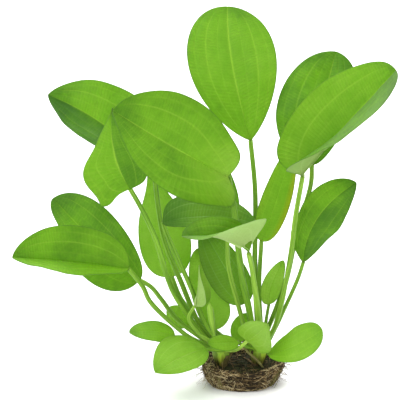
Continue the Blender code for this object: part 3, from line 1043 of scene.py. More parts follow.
        # Painted sheen, from the first quarter on.
        painted_sheen = halves(s, self.painted_sheen) * smooth_step((along - 0.25) / 0.35)
        inside = np.where(s > 0, across[:, -1:], -across[:, :1]) - np.abs(across)
        edge = 0.75 * (1 - smooth_step(inside / MARGIN_LINE))
        joint_place, tip_place = (0, 0, offset), (0, length, offset)
        return {"leaf_place": self.over_rings(place, joint_place, tip_place),
                "leaf_net": self.over_rings(net, joint_place, tip_place),
                "vein": self.over_rings(veins, 1.0, 0.3),
                "edge": self.over_rings(edge, 0.0, 0.5),
                "yellow": self.over_rings(yellow, 0.0, 0.0),
                "painted_sheen": self.over_rings(painted_sheen, 0.0, 0.0),
                "tone_and_painted_light": self.over_rings(tone_and_painted_light, *self.tone_and_painted_light)}

    @staticmethod
    def over_rings(grid: Array, at_joint: object, at_tip: object) -> Array:
        """Values of a grid carried over the upper side and back under it, with one for each pole.

        Args:
            grid: (rows, columns) or (rows, columns, 3).
            at_joint: the value at the joint's pole.
            at_tip: the value at the tip's pole.

        Returns:
            Values in the order of the skin's points.
        """
        rings = np.concatenate([grid, grid[:, ::-1]], axis=1)
        flat = rings.reshape(-1, *grid.shape[2:])
        return np.concatenate([flat, np.array([at_joint], float), np.array([at_tip], float)])

    def blade(self) -> Surface:
        """The blade as a closed lens: each ring runs over the upper side and back along the lower one.

        The upper side is the middle surface plus its normal times the thickness over it, and the
        lower side is less the thickness under it. The fan is a power of the place across, larger
        near the joint.

        Returns:
            The skin, with its values, and with its lower side in the second material slot.
        """
        rng = np.random.default_rng(self.seed)
        rows, _ = self.detail.value
        u = np.linspace(0.012, 0.988, rows)[:, None]
        columns = blade_columns()[None, :]
        s = np.sign(columns) * np.abs(columns) ** (1 + self.fan * (1 - smooth_step(u / 0.45)))
        points, across = self.flat_blade(u, s)
        length = lengths_along(points[:, s.shape[1] // 2])[-1]
        phases = np.where(s > 0, *rng.uniform(0, 2 * np.pi, 2))
        rise = self.relief(points, u, s, columns, phases)
        points = points + self.grid_normals(points) * rise[..., None]
        normals = self.grid_normals(points)
        veins, midrib = self.vein_strength(u, columns)
        over, under = self.thickness(u, s, across, veins, midrib)
        upper_side = points + normals * over[..., None]
        lower_side = points - normals * under[..., None]
        rings = np.concatenate([upper_side, lower_side[:, ::-1]], axis=1)
        ends, _ = self.rib_place(np.array([0.0, 1.0]))
        skin = Surface.closed_tube(rings, ends[0], ends[1])
        skin.values = self.markings(points, u, s, across, veins, length, rng.uniform(0, 400))
        lower = np.arange(rings.shape[1]) >= columns.shape[1] - 1
        skin.slots = np.tile(lower, rows + 1).astype(int)
        return skin

    def stalk_route(self) -> tuple[Array, float]:
        """The points that the stalk passes: foot, seat, a little above it, the way up, and the joint.

        The foot is below the seat and a share of that depth inwards. The last point is the rib's
        first one, moved against the way that the blade faces by the tuck.

        Returns:
            The points, and how deep the foot is below the seat.
        """
        ring = self.seat[0]
        dip, inwards = OUTER_FOOT if ring == OUTER else INNER_FOOT
        seat = np.array([*self.crown, CROWN_TOP + FIT_GAP]) + self.outward * ring
        foot = seat - self.outward * (inwards * dip) - np.array([0, 0, dip])
        joint = np.array(self.rib[0], float) - unit(np.array(self.face, float)) * self.tuck
        return np.vstack([foot, seat, seat + [0, 0, STALK_RISE], *self.via, joint]), dip

    def stalk(self) -> Surface:
        """The stalk as rings along its route: a broad sheath at the crown, ribs, and a channel above.

        A ring's radius is the stalk's own, times one plus small cosines that make the ribs. Near the
        foot a bell stretches it round the crown and bends its sides inwards, as a sheath. On the side
        that the blade faces a bell of the turn presses it in, as a channel.

        Returns:
            The skin, with the values that the stalk's finish reads.
        """
        _, rows = self.detail.value
        route, dip = self.stalk_route()
        aim = self.rib_place(np.array([0.0]))[1][0]
        t = np.linspace(0, 1, rows)
        steps = lengths_along(route)
        lift = steps[-1] * t
        path = catmull_rom(route, np.interp(lift, steps, np.linspace(0, 1, len(route))))
        tangent = unit(np.gradient(path, axis=0))
        tangent[-1] = unit(tangent[-1] + aim)
        blend = smooth_step((t - 0.15) / 0.7)[:, None]
        way = unit(self.outward * (1 - blend) - np.array(self.face, float) * blend + [0.02, 0.03, 0.0])
        back = unit(way - tangent * (way * tangent).sum(-1, keepdims=True))
        side = np.cross(tangent, back)
        widening = STALK_FOOT_R + (self.stalk_r - STALK_FOOT_R) * t / STALK_FULL
        narrowing = self.stalk_r * (1 - STALK_TOP_TAPER * (t - STALK_FULL) / (1 - STALK_FULL))
        swell = np.where(t < STALK_FULL, widening, narrowing)
        middle = 0.7 * dip
        sheath = bell(lift - middle, SHEATH_LENGTH * (0.5 + 0.5 * (lift > middle)))
        wide = (swell * (1 + SHEATH_WIDER * sheath))[:, None]
        thick = (swell * (1 + SHEATH_THICKER * sheath))[:, None]
        turn = turns(STALK_SIDES)[None, :]
        ribs = 1 + 0.045 * np.cos(6 * turn + 0.4) + 0.03 * np.cos(3 * turn)
        from_channel = np.angle(np.exp(1j * (turn + np.pi / 2)))
        channel = CHANNEL_DEPTH * bell(from_channel, CHANNEL_WIDTH) * (1 - 0.4 * sheath[:, None])
        x = wide * np.cos(turn) * ribs
        y = thick * np.sin(turn) * ribs + thick * channel - 0.20 * sheath[:, None] * wide * np.cos(turn) ** 2
        rings = path[:, None] + side[:, None] * x[..., None] + back[:, None] * y[..., None]
        skin = Surface.closed_tube(rings[:, ::-1], path[0] - tangent[0] * 0.3, path[-1] + aim * 0.4)
        rise = np.minimum((path[:, 2] - SOIL_TOP) / HEIGHT_SPAN, 0.6 + 0.28 * t)
        height = np.clip(rise + 0.4 * smooth_step((t - 0.88) / 0.12), 0, 1)
        skin.values = stalk_values(turn[:, ::-1] * self.stalk_r, lift, float(self.seed % 97), height,
                                   self.pale, self.base)
        return skin

    def build(self, palette: Palette) -> None:
        """Builds and dresses the blade and the stalk.

        Args:
            palette: makes the materials.
        """
        slot, upper, lower = self.tone.value
        self.blade().piece(f"{self.name}_blade", slot, ("blade_" + self.name,),
                           (palette.get(upper), palette.get(lower)))
        self.stalk().piece(f"{self.name}_stalk", "stalk", ("stalk_" + self.name,), (palette.get(STALK),))


def stalk_values(around: Array, lift: Array, offset: float, height: Array, pale: float,
                 base: float) -> dict[str, Array]:
    """The values that a stalk's finish reads.

    The stalk_place is the distance round, the distance along and the stalk's own offset.

    Args:
        around: the distance round at each side, (1, sides) or (rows, sides).
        lift: the distance along of each ring.
        offset: moves the pattern, so that no two stalks have the same.
        height: the height value of each ring.
        pale: how pale the stalk is.
        base: how light its lower part is.

    Returns:
        A value for every point of the skin, by name.
    """
    rings = lift[:, None] + 0 * around
    place = np.stack([around + 0 * rings, rings, offset + 0 * rings], -1).reshape(-1, 3)
    ends = np.array([[0, 0, offset], [0, lift[-1], offset]], float)
    values = {"stalk_place": np.vstack([place, ends]),
              "height": np.concatenate([np.repeat(height, around.shape[1]), [height[0], height[-1]]])}
    for name, value in (("pale", pale), ("base", base)):
        values[name] = np.full(len(place) + 2, value)
    return values


# Each leaf's lightness pair holds its own tone. It also paints shade on halves that face away from the light
# or lie under other leaves, and light on lit ones.
LEAVES = (
    Leaf("tall_centre", CROWN_RIGHT, (INNER, 90), ((6, 9, 68), (6, 15, 115)),
         ((3, 18, 148), (-8, 28, 192), (-11, 40, 226)), 52, (0, -1, 0.1), share=(1, 1.04),
         egg=(-0.2, -0.1), base_round=1.6, tip_round=0.95, stalk_r=1.6, detail=Detail.BIG,
         tone_and_painted_light=(0.56, 0.57), pale=0, rib_width=1.3, painted_sheen=(0.02, 0.02)),
    Leaf("back_left", CROWN_LEFT, (INNER, 118), ((-28, 4, 36), (-39, 6, 62), (-50, 11, 90)),
         ((-56, 17, 131), (-86, 25, 156), (-120, 33, 173)), 47, (-0.2, -1, 0.5),
         fold_left=(-60, -55), fold_right=(5, 5), share=(1, 1.07), egg=(-0.1, 0.25),
         bulges=((1, 0.8, 0.08, 0.15),), base_round=1, tip_round=1.35, stalk_r=1.6,
         detail=Detail.BIG, tone_and_painted_light=(0.1, 0.48)),
    Leaf("big_front", CROWN_RIGHT, (INNER, 234), ((3, -7, 45), (-3, -8, 75), (-7, -9, 110)),
         ((-11, -20, 135), (-48, -37, 160), (-77, -48, 181)), 62, (0, -1, 0.3), fold_left=(5, -20),
         fold_right=(8, 3), share=(0.75, 0.97), egg=(0.7, 0.1), lobe=(0.27, 0.14),
         bulges=((-1, 0.04, -0.45, 0.07), (-1, 0.2, -0.3, 0.15), (1, 0.2, -0.17, 0.15)),
         base_round=1.7, tip_round=0.97, stalk_r=2.1, detail=Detail.BIG, tone_and_painted_light=(0.46, 0.47),
         pale=0.1, fan=0.9, tuck=2.2, painted_light_at_joint=0.5),
    Leaf("hanging_left", CROWN_LEFT, (INNER, 190),
         ((-27, -2, 33), (-44, -5, 60), (-54, -8, 93), (-62, -13, 113)),
         ((-69, -18, 127), (-78, -24, 152), (-78, -31, 179)), 28, (-0.4, -1, 0.2),
         share=(0.85, 1.05), egg=(1, 0.8), lobe=(0.24, -0.1),
         bulges=((-1, 0.17, 0.35, 0.1), (-1, 0.4, 0.7, 0.12)), base_round=0.55, tip_round=1.35,
         stalk_r=1.7, detail=Detail.BIG, tone_and_painted_light=(0.54, 0.33), pale=0.1, fan=0.6, rib_width=2.3,
         base=0.35),
    Leaf("low_left", CROWN_LEFT, (OUTER, 207), ((-36, -5, 32), (-56, -11, 53), (-62, -15, 66)),
         ((-70, -18, 78), (-107, -30, 86), (-137, -42, 92)), 44, (0, -0.5, 1), fold_left=(15, 15),
         fold_right=(55, 58), share=(0.58, 1.02), egg=(0.05, 0.1), lobe=(0, 0.05),
         bulges=((-1, 0.5, 0.25, 0.25),), base_round=1.15, tip_round=1.2, stalk_r=1.6,
         detail=Detail.BIG, tone_and_painted_light=(0.62, 0.46), pale=0.2, painted_sheen=(0.05, 0), base=0.5),
    Leaf("low_left_back", CROWN_LEFT, (OUTER, 158), ((-40, 2, 38), (-51, 0, 53), (-57, -1, 61)),
         ((-64, -2, 66), (-91.5, 7, 88), (-117.5, 20, 111)), 39, (-0.2, -1, 0.5),
         share=(1.02, 0.95), egg=(0.3, -0.2), bulges=((-1, 0.8, -0.3, 0.2),), base_round=0.95,
         detail=Detail.BIG, tone_and_painted_light=(0.4, 0.34), pale=0.2),
    Leaf("back_upright", CROWN_LEFT, (OUTER, 90), ((-37, 18, 44),),
         ((-45, 24, 60), (-51, 30, 98), (-58, 38, 136)), 27, (0.2, -1, 0.0), share=(1.12, 0.97),
         egg=(0.55, 0.65), bulges=((-1, 0.8, -0.35, 0.2), (1, 0.8, -0.6, 0.2)), base_round=0.85,
         tone_and_painted_light=(0.95, 0.95), painted_sheen=(0.03, 0.03)),
    Leaf("shaded_flat", CROWN_LEFT, (INNER, 334), ((-24, -1, 37), (-35, 0, 65), (-46, 1, 90)),
         ((-50, 2, 101), (-22, -3, 106), (6, 0, 101)), 30, (0, -1, 1), share=(1.1, 0.45),
         egg=(0.25, 0.1), lobe=(0.06, 0.0), stalk_r=1.5, tone=Tone.SHADED, tone_and_painted_light=(0.7, 0.7),
         base=0.7, painted_light_at_joint=-0.4),
    Leaf("folded_pale", CROWN_RIGHT, (OUTER, 270), ((8, -15, 41), (4, -24, 75)),
         ((1, -34, 93), (-16, -42, 104), (-38, -46, 106)), 34, (0, -0.2, 1), fold_left=(118, -5),
         fold_right=(75, 65), fold_power=0.8, share=(1.24, 0.8), egg=(0.75, 0.15), lobe=(0.08, 0),
         bulges=((-1, 0.1, -0.25, 0.12),), tip_round=0.95, stalk_r=1.8, tone=Tone.TURNED,
         tone_and_painted_light=(0.5, 0.45), pale=0.5, base=0.55, painted_sheen=(0.3, 0.03)),
    Leaf("back_low", CROWN_RIGHT, (INNER, 162), (), ((1, 6, 49), (-12, 12, 69), (-26, 20, 92)), 26,
         (0, -1, 0.3), share=(1, 0.85), tone=Tone.SHADED, tone_and_painted_light=(0.8, 0.85), painted_light_at_joint=0.15),
    Leaf("centre_low", CROWN_LEFT, (OUTER, 58), ((-13, 4, 26),),
         ((-19, 7, 31), (-23, 12, 56), (-29, 18, 80)), 21, (0, -1, 0.3), egg=(0, 0.3),
         bulges=((1, 0.1, 0.2, 0.2),), tone_and_painted_light=(0.9, 1.1), painted_sheen=(0, 0.06)),
    Leaf("young_folded", CROWN_LEFT, (INNER, 262), ((-28, -9, 34), (-34.5, -10.5, 44)),
         ((-30.5, -10, 52), (-29, -8, 63), (-28, -4, 76)), 15, (0.5, -0.85, 0.1),
         fold_left=(115, 70), fold_right=(5, 0), share=(1, 1.1), egg=(0.7, 0.6), base_round=0.8,
         stalk_r=1.1, tone=Tone.YOUNG, detail=Detail.SMALL, tone_and_painted_light=(0.35, 0.35), pale=0.5, base=0.6),
    Leaf("right_back", CROWN_RIGHT, (OUTER, 62), ((24, 5, 60), (31, 8, 92), (39, 11, 120)),
         ((40, 14, 134), (46, 22, 167), (55, 36, 199)), 51, (-0.2, -1, 0.3), share=(1.07, 0.7),
         egg=(0.05, -0.3), base_round=0.95, stalk_r=1.6, detail=Detail.BIG, tone_and_painted_light=(0.36, 0.36),
         pale=0.2),
    Leaf("right_front", CROWN_RIGHT, (INNER, 310), ((18.5, -5, 39), (26, -7, 78), (29.5, -9, 108)),
         ((33, -10, 133), (57, -21, 166), (85, -31, 201)), 64, (-0.6, -1, 0.5), fold_left=(15, 8),
         fold_right=(120, 30), fold_power=0.6, share=(0.92, 0.96), egg=(0.15, 0.25),
         lobe=(0.2, 0.1), bulges=((-1, 0.04, 0.1, 0.08),), base_round=2, tip_round=0.75,
         stalk_r=1.7, detail=Detail.BIG, tone_and_painted_light=(0.56, 0.25), pale=0.3, fan=0.6, painted_sheen=(0, 0.18),
         base=0.8),
    Leaf("right_inner", CROWN_RIGHT, (INNER, 18), ((8.5, 5.5, 58),),
         ((10, 10, 87), (19, 12, 113), (28, 15, 145)), 18, (0.2, -1, 0.2), share=(1.05, 1),
         egg=(0.2, 0.15), base_round=0.85, tip_round=1.05, stalk_r=1.5, ageing=(0.1, 0.8),
         tone_and_painted_light=(0.66, 0.66), pale=0.1),
    Leaf("right_low", CROWN_RIGHT, (OUTER, 350), ((21, -1, 41), (31, 0, 64)),
         ((35, 2, 76), (43, -2, 105), (66, 1, 126)), 32, (-0.2, -1, 0.3), fold_left=(10, 10),
         fold_right=(-45, -42), share=(0.75, 1.13), egg=(-0.35, 0), lobe=(-0.07, 0),
         bulges=((-1, 0.12, 0.7, 0.15),), base_round=1.3, tip_round=1.35, stalk_r=1.3,
         tone_and_painted_light=(0.43, 0.22), pale=0.1, base=0.2),
    Leaf("right_small", CROWN_RIGHT, (OUTER, 22), ((12.5, 0, 37),),
         ((14.5, 1, 49.5), (16, 0, 63), (23, 2, 77)), 13, (0.2, -1, 0.2), share=(0.88, 1.04),
         egg=(0.25, 0.15), base_round=0.85, stalk_r=1.1, detail=Detail.SMALL, tone_and_painted_light=(1, 0.92),
         painted_sheen=(0.03, 0.03)),
    Leaf("base_front", CROWN_LEFT, (OUTER, 312), ((-5, -17, 27),),
         ((1, -20, 33), (7, -26, 40), (13, -30, 47)), 20, (0.3, -1, 0.3), share=(1.05, 0.9),
         egg=(0.2, 0.6), lobe=(0.07, 0.26), bulges=((1, 0.4, 0.4, 0.2),), base_round=0.75,
         stalk_r=1.2, tone=Tone.YOUNG, detail=Detail.SMALL, tone_and_painted_light=(0.48, 0.48), pale=0.8,
         painted_sheen=(0.08, 0.08), base=0.3),
    Leaf("base_right", CROWN_RIGHT, (OUTER, 308), (), ((14, -16, 24), (28, -24, 31), (45, -31, 44)),
         23, (0, -0.8, 1), share=(1.05, 0.95), egg=(-0.2, -0.45), base_round=0.85, tip_round=1,
         stalk_r=1.2, tone_and_painted_light=(0.78, 0.74), painted_sheen=(0.05, 0.05), base=1),
    Leaf("base_left", CROWN_LEFT, (OUTER, 238), ((-29, -9, 25),),
         ((-43, -7, 32), (-56, -10, 36), (-70, -16, 37)), 18, (0, -0.5, 1), egg=(0, 0.2),
         base_round=1, stalk_r=1.1, detail=Detail.SMALL, tone_and_painted_light=(0.68, 0.68), painted_sheen=(0.04, 0.04),
         base=0.2),
    Leaf("base_left_front", CROWN_LEFT, (OUTER, 268), (),
         ((-24, -15, 27), (-38, -28, 26), (-54, -42, 21)), 30, (0, -0.6, 1), share=(0.8, 1.2),
         egg=(0.05, 0.25), base_round=1.15, tip_round=1.4, stalk_r=1.3, tone=Tone.YOUNG,
         tone_and_painted_light=(0.28, 0.28), base=0.75),
    Leaf("base_centre", CROWN_RIGHT, (OUTER, 228), ((1, -10, 26),),
         ((-5, -18, 32), (-14, -23, 33), (-23, -26, 34)), 12, (0, -0.8, 1), stalk_r=1.2,
         detail=Detail.SMALL, tone_and_painted_light=(0.66, 0.66), base=0.6),
    Leaf("base_back", CROWN_RIGHT, (OUTER, 140), (), ((0, 8, 24), (-2, 11, 31), (2, 15, 39)), 14,
         (0, -1, 0.2), share=(0.95, 1), egg=(0.25, 0.1), base_round=0.85, tip_round=1.15,
         stalk_r=0.9, detail=Detail.SMALL, tone_and_painted_light=(0.78, 0.78)),
    Leaf("base_left_back", CROWN_LEFT, (OUTER, 118), (),
         ((-34, 9, 33.5), (-41, 10, 39), (-48, 12, 42.5)), 13, (0, -1, 0.3), stalk_r=1.0,
         detail=Detail.SMALL, tone_and_painted_light=(0.84, 0.84)),
    Leaf("hidden_back", CROWN_RIGHT, (OUTER, 185), ((-2, -1, 41), (-10, 2, 72)),
         ((-11, 10, 93), (-22, 22, 118), (-27, 38, 142)), 31, (0, -1, 0.2), stalk_r=1.5,
         tone_and_painted_light=(0.45, 0.45), pale=0.45),
)


@dataclass(frozen=True)
class Crown:
    """A short thick stem, ringed with the scars of old leaves.

    Towards is the angle in degrees of the side where it has most stubs of old stalks.
    """

    name: str
    centre: Pair
    towards: float
    foot_r: float = 2.9
    top_r: float = 4.6
    foot: float = 11.0
    top: float = 20.6
    top_rounding: float = 1.6
    scar: float = 0.22
    rows: int = 30
    sides: int = 72
    near_stubs: int = 5
    other_stubs: int = 6
    stub_seat: float = 2.6
    stub_rows: int = 12
    stub_sides: int = 14

    def skin(self) -> Surface:
        """The stem, as rings whose radius grows to the top and is rounded off there.

        A scar swells it by the absolute sine of the height, and two sines of the turn that lean with
        the height make ribs.

        Returns:
            The skin.
        """
        v = np.linspace(0, 1, self.rows)[:, None]
        turn = turns(self.sides)[None, :]
        rounding = self.top_rounding * smooth_step((v - 0.82) / 0.18)
        radius = self.foot_r + (self.top_r - self.foot_r) * v - rounding
        scars = self.scar * np.abs(np.sin(np.pi * (3.2 * v + 0.12 * np.sin(3 * turn))))
        ribs = 0.18 * np.sin(17 * turn + 2.5 * v) + 0.12 * np.sin(29 * turn - 3 * v)
        reach = radius + scars + ribs
        height = self.foot + (self.top - self.foot) * v + 0.25 * np.sin(4 * turn + 1.0)
        rings = np.stack([self.centre[0] + reach * np.cos(turn), self.centre[1] + reach * np.sin(turn),
                          height + 0 * reach], -1)
        centre = np.array([*self.centre, 0.0])
        return Surface.closed_tube(rings, centre + [0, 0, self.foot], centre + [0, 0, self.top])

    def stub(self, angle: float, rng: np.random.Generator) -> Surface:
        """One dry stub of an old leaf stalk: a tapered tube from the stem's foot, with a ragged top.

        It leans out as a power of the way up. Its rings are wider round the stem than across, with
        five faint ribs.

        Args:
            angle: where it stands round the stem, in radians.
            rng: picks its length, lean, thickness and ragged edge.

        Returns:
            The skin.
        """
        out = np.array([np.cos(angle), np.sin(angle), 0.0])
        side = np.cross(out, [0, 0, 1])
        t = np.linspace(0, 1, self.stub_rows)
        turn = turns(self.stub_sides)
        nearer = np.cos(angle - np.radians(self.towards)) > 0.8
        length, lean = rng.uniform(8, 12) + 3.5 * nearer, rng.uniform(0.15, 0.45) + 0.08 * nearer
        start = np.array([*self.centre, self.foot - 0.4]) + out * self.stub_seat
        path = start + np.outer(t * length, [0, 0, 1]) + np.outer(t**1.6 * length * lean, out)
        size = (rng.uniform(0.9, 1.4) * (1 - 0.35 * t**3))[:, None]
        ribs = 1 + 0.08 * np.cos(5 * turn + rng.uniform(0, 6))
        wide, thick = size * 1.5 * np.cos(turn) * ribs, size * 0.8 * np.sin(turn) * ribs
        rings = path[:, None] + wide[..., None] * side + thick[..., None] * out
        rings[-1, :, 2] += rng.uniform(-0.5, 0.6, len(turn))
        return Surface.closed_tube(rings, path[0] - [0, 0, 0.2], path[-1] - [0, 0, 0.3])

    def stubs(self) -> Surface:
        """The stubs of old stalks: some gathered at one side by a normal spread, the rest all round.

        Returns:
            One skin with every stub.
        """
        rng = np.random.default_rng(int(self.towards) + 7)
        gathered = rng.normal(0, 24, self.near_stubs)
        around = self.towards + np.concatenate([gathered, rng.uniform(0, 360, self.other_stubs)])
        return Surface.joined([self.stub(angle, rng) for angle in np.radians(around)])

    def build(self, palette: Palette) -> None:
        """Builds and dresses the stem and its stubs."""
        self.skin().piece(f"{self.name}_stem", "crown", (self.name,), (palette.get(CROWN),))
        self.stubs().piece(f"{self.name}_stubs", "crown", (), (palette.get(CROWN),))


@dataclass(frozen=True)
class RolledLeaf:
    """The youngest leaf, still rolled up: a thin stalk that swells into a blunt roll.

    Step is the seam's height as a share of the radius, and winding how far the seam turns, in radians.
    """

    name: str
    route: tuple[Point, ...]
    thin_r: float = 0.75
    roll_r: float = 1.95
    step: float = 0.24
    winding: float = 0.9
    pale: float = 0.5
    base: float = 0.5
    rows: int = 60
    sides: int = 40

    def skin(self) -> Surface:
        """Rings along the route, whose radius grows a little once round, so that it steps at the seam.

        The radius swells by a smooth step from the stalk's to the roll's, and shrinks at the tip by
        the root of one less another.

        Returns:
            The skin, with the values that a stalk's finish reads.
        """
        t = np.linspace(0, 1, self.rows)
        path = catmull_rom(np.array(self.route, float), t)
        tangent = unit(np.gradient(path, axis=0))
        side = unit(np.cross(tangent, [0.25, -1.0, 0.0]))
        other = np.cross(tangent, side)
        swollen = smooth_step((t - 0.30) / 0.42)
        radius = self.thin_r + (self.roll_r - self.thin_r) * swollen
        radius = radius * np.sqrt(np.clip(1 - smooth_step((t - 0.86) / 0.16) * 0.9, 0.05, 1))
        turn = turns(self.sides)[None, :] + self.winding * t[:, None]
        around = np.linspace(-0.5, 0.5, self.sides)[None, :]
        reach = radius[:, None] * (1 + self.step * swollen[:, None] * around + 0.03 * np.cos(5 * turn))
        rings = (path[:, None] + (reach * np.cos(turn))[..., None] * side[:, None]
                 + (reach * np.sin(turn))[..., None] * other[:, None])
        skin = Surface.closed_tube(rings, path[0] - tangent[0] * 0.3, path[-1] + tangent[-1] * 0.3)
        skin.values = stalk_values(turn * self.roll_r, t * lengths_along(path)[-1], 0.0, 0.55 + 0.45 * t,
                                   self.pale, self.base)
        return skin

    def build(self, palette: Palette) -> None:
        """Builds and dresses the roll."""
        self.skin().piece(self.name, "young_leaf", (), (palette.get(STALK),))


@dataclass(frozen=True)
class Fibres:
    """Many thin roots at once: each is a ring of a few points carried along its own path."""

    count: int
    seed: int
    radius: Pair
    tone: Pair
    steps: int = 9
    sides: int = 3

    def dice(self) -> np.random.Generator:
        """The fibres' own random numbers, from their seed."""
        return np.random.default_rng(self.seed)

    def skins(self, paths: Array, rng: np.random.Generator, shade: Array | float = 0.0) -> Surface:
        """Closed tubes along many paths, computed together.

        A ring is the path's point plus the radius times the cosine and sine of the turn along two
        ways square to the path, and the radius shrinks to both ends.

        Args:
            paths: (count, steps, 3), which are kept clear of the floor.
            rng: picks each fibre's thickness and tone.
            shade: what is added to each fibre's tone, partly painted light and shade.

        Returns:
            One skin with every fibre in it.
        """
        count, steps, _ = paths.shape
        paths = paths + [0, 0, 1] * np.maximum(self.radius[1] + 0.1 - paths[..., 2:], 0)
        tangent = unit(np.gradient(paths, axis=1))
        side = unit(np.cross(tangent, [0.31, 0.17, 0.93]))
        other = np.cross(tangent, side)
        taper = 1 - 0.55 * np.linspace(-1, 1, steps) ** 2
        thick = rng.uniform(*self.radius, count)[:, None] * taper
        turn = turns(self.sides)
        ways = np.cos(turn)[:, None] * side[:, :, None] + np.sin(turn)[:, None] * other[:, :, None]
        rings = paths[:, :, None] + thick[..., None, None] * ways
        starts, ends = paths[:, 0] - tangent[:, 0] * 0.1, paths[:, -1] + tangent[:, -1] * 0.1
        skin = Surface.closed_tubes(rings, starts, ends)
        dark, bright = self.tone
        tone = dark + (bright - dark) * rng.uniform(0, 1, count) ** 1.8 + shade
        skin.values["tone"] = np.repeat(tone, len(skin.points) // count)
        return skin


@dataclass(frozen=True)
class RootBall:
    """The fibrous mat, its soil, and the roots on and around it.

    Its foot leans to one side of its rim: a place is moved by lean, less the higher it is. The rim
    drops by rim_drop at rim_drop_at, an angle and its spread in degrees. The bells that shift the
    fibres' tones round the ball, and the one along the rim, are each an angle, its spread and what it
    adds to a fibre's tone. They are partly the fibres' own tone, and partly painted light at the sides
    and painted shade in the middle of the front, deepest in a hollow there and along the top of the
    rim. A strand is a thick root's name, its angle and how many degrees it leans on its way down.
    Fibres keep to wall_span, two places on the outline.
    """

    depth_ratio: float = 0.93
    centre_x: float = -0.9
    lean: float = -1.2
    height: float = 14.0
    outline: tuple[Pair, ...] = ((0.5, 0.0), (17.0, 0.05), (18.8, 0.3), (20.3, 1.8), (22.0, 5.0), (23.2, 9.0),
                                 (24.2, 12.0), (24.3, 13.3), (23.0, 14.0), (21.6, 13.2), (20.6, 11.4),
                                 (17.0, 11.0), (0.5, 11.2))
    mat_rows: int = 84
    mat_sides: int = 220
    floor_clear: float = 0.12
    rim_foot: float = 11.4
    rim_drop: float = 2.1
    rim_drop_at: Pair = (272, 42)
    wall_span: Pair = (0.27, 0.69)
    # Partly the fibres' own tone, and partly painted light at the sides and painted shade in the middle front
    # and its hollow.
    tones_and_painted_light: tuple[Point, ...] = ((212, 26, 0.14), (330, 22, 0.12), (264, 30, -0.09), (283, 7, -0.25))
    # Painted shade along the top of the front rim.
    rim_painted_shade: Point = (272, 40, -0.22)
    soil_r: float = 20.6
    soil_under: float = 9.6
    crumb_count: int = 620
    crumb_reach: float = 20.2
    strands: tuple[tuple[str, int, float], ...] = (("root_front", 301, -9), ("root_right", 336, -12),
                                                   ("root_left", 226, 12))
    strand_top: float = 12.4
    strand_drop: float = 11.3
    strand_rows: int = 24

    def leant(self, points: Array) -> Array:
        """Places round the middle, moved to the ball's own middle and by its lean."""
        shift = self.centre_x + self.lean * (1 - points[..., 2:] / self.height)
        return points + shift * [1, 0, 0]

    def polar(self, reach: Array, turn: Array, height: Array | float) -> Array:
        """Places round the middle: the reach times cosine and sine of the turn, flattened by depth_ratio."""
        x, y = reach * np.cos(turn), reach * self.depth_ratio * np.sin(turn)
        return np.stack([x, y, height + 0 * x], -1)

    def wall(self, turn: Array, v: Array, lift: Array | float) -> Array:
        """Places on the mat's outline, turned about the middle, with a lower and uneven rim in front.

        The outline is read straight between its points, and a lift moves a place along the outline's
        normal there. Two sines of the turn make lumps, and two more the uneven rim.

        Args:
            turn: the angle round the ball.
            v: the way along the outline, 0 under the foot and 1 in the middle of the soil.
            lift: how far out from the wall.

        Returns:
            Points with a last axis of three.
        """
        line = np.array(self.outline)
        steps = lengths_along(line)
        at = np.clip(v, 0, 1) * steps[-1]
        radius, height = (np.interp(at, steps, column) for column in line.T)
        ahead, behind = np.minimum(at + 0.8, steps[-1]), np.maximum(at - 0.8, 0)
        across, up = (np.interp(ahead, steps, column) - np.interp(behind, steps, column) for column in line.T)
        size = np.maximum(np.hypot(across, up), 1e-6)
        lumps = 0.55 * (np.sin(5 * turn + 1.0) + np.sin(9 * turn - 2.0)) * smooth_step(height / 3)
        rim = smooth_step((height - self.rim_foot) / (self.height - self.rim_foot))
        uneven = 0.35 * (np.sin(7 * turn + 2.0) + np.sin(16 * turn))
        drop = rim * (self.rim_drop * self.near(turn, *self.rim_drop_at) - uneven)
        place = self.polar(radius + lumps + lift * up / size, turn, height - lift * across / size - drop)
        return self.leant(place + [0, 0, 1] * np.maximum(self.floor_clear - place[..., 2:], 0))

    @staticmethod
    def near(turn: Array, degrees: float, width: float) -> Array:
        """One where a turn in radians is at an angle in degrees, a bell over a width in degrees."""
        apart = np.angle(np.exp(1j * (turn - np.radians(degrees))))
        return bell(apart, np.radians(width))

    @staticmethod
    def humps(flat: Array) -> Array:
        """How far the soil's larger humps rise at places on it."""
        return 0.55 * ripple(flat, 7.0, 21)

    def mat(self) -> Surface:
        """The solid part of the mat: the outline turned, with uneven values of two sizes as its lift.

        Returns:
            The skin, which is flat under the foot.
        """
        turn, v = np.meshgrid(turns(self.mat_sides), np.linspace(0.0, 1.0, self.mat_rows))
        plain = self.wall(turn, v, 0.0)
        rough = 0.7 * ripple(plain, 5.0, 11) + 0.4 * ripple(plain, 2.2, 12)
        rings = self.wall(turn, v, rough - 0.5)
        rings[..., 2] = np.maximum(rings[..., 2] - self.floor_clear, 0.0)
        rings[0, :, 2] = 0.0
        poles = self.leant(np.array([[0, 0, 0], [0, 0, rings[-1, :, 2].mean()]]))
        return Surface.closed_tube(rings, poles[0], poles[1])

    def soil(self) -> Surface:
        """The soil's bed: rings from the rim to the middle, raised by humps and smaller lumps.

        The first ring is the widest one again, at the bed's underside.

        Returns:
            The skin.
        """
        v = np.linspace(0, 1, 40)[:, None]
        turn = turns(120)[None, :]
        radius = self.soil_r * (1 - 0.97 * v)
        top = self.polar(radius, turn, 0.0)
        height = SOIL_TOP + self.humps(top) + 0.35 * ripple(top, 2.4, 22)
        top[..., 2] = height - 1.5 * smooth_step((radius / self.soil_r - 0.93) / 0.07)
        low = top[:1] * [1, 1, 0] + [0, 0, self.soil_under]
        rings = self.leant(np.concatenate([low, top]))
        poles = self.leant(np.array([[0, 0, self.soil_under], [0, 0, top[-1, :, 2].mean()]]))
        return Surface.closed_tube(rings, poles[0], poles[1])

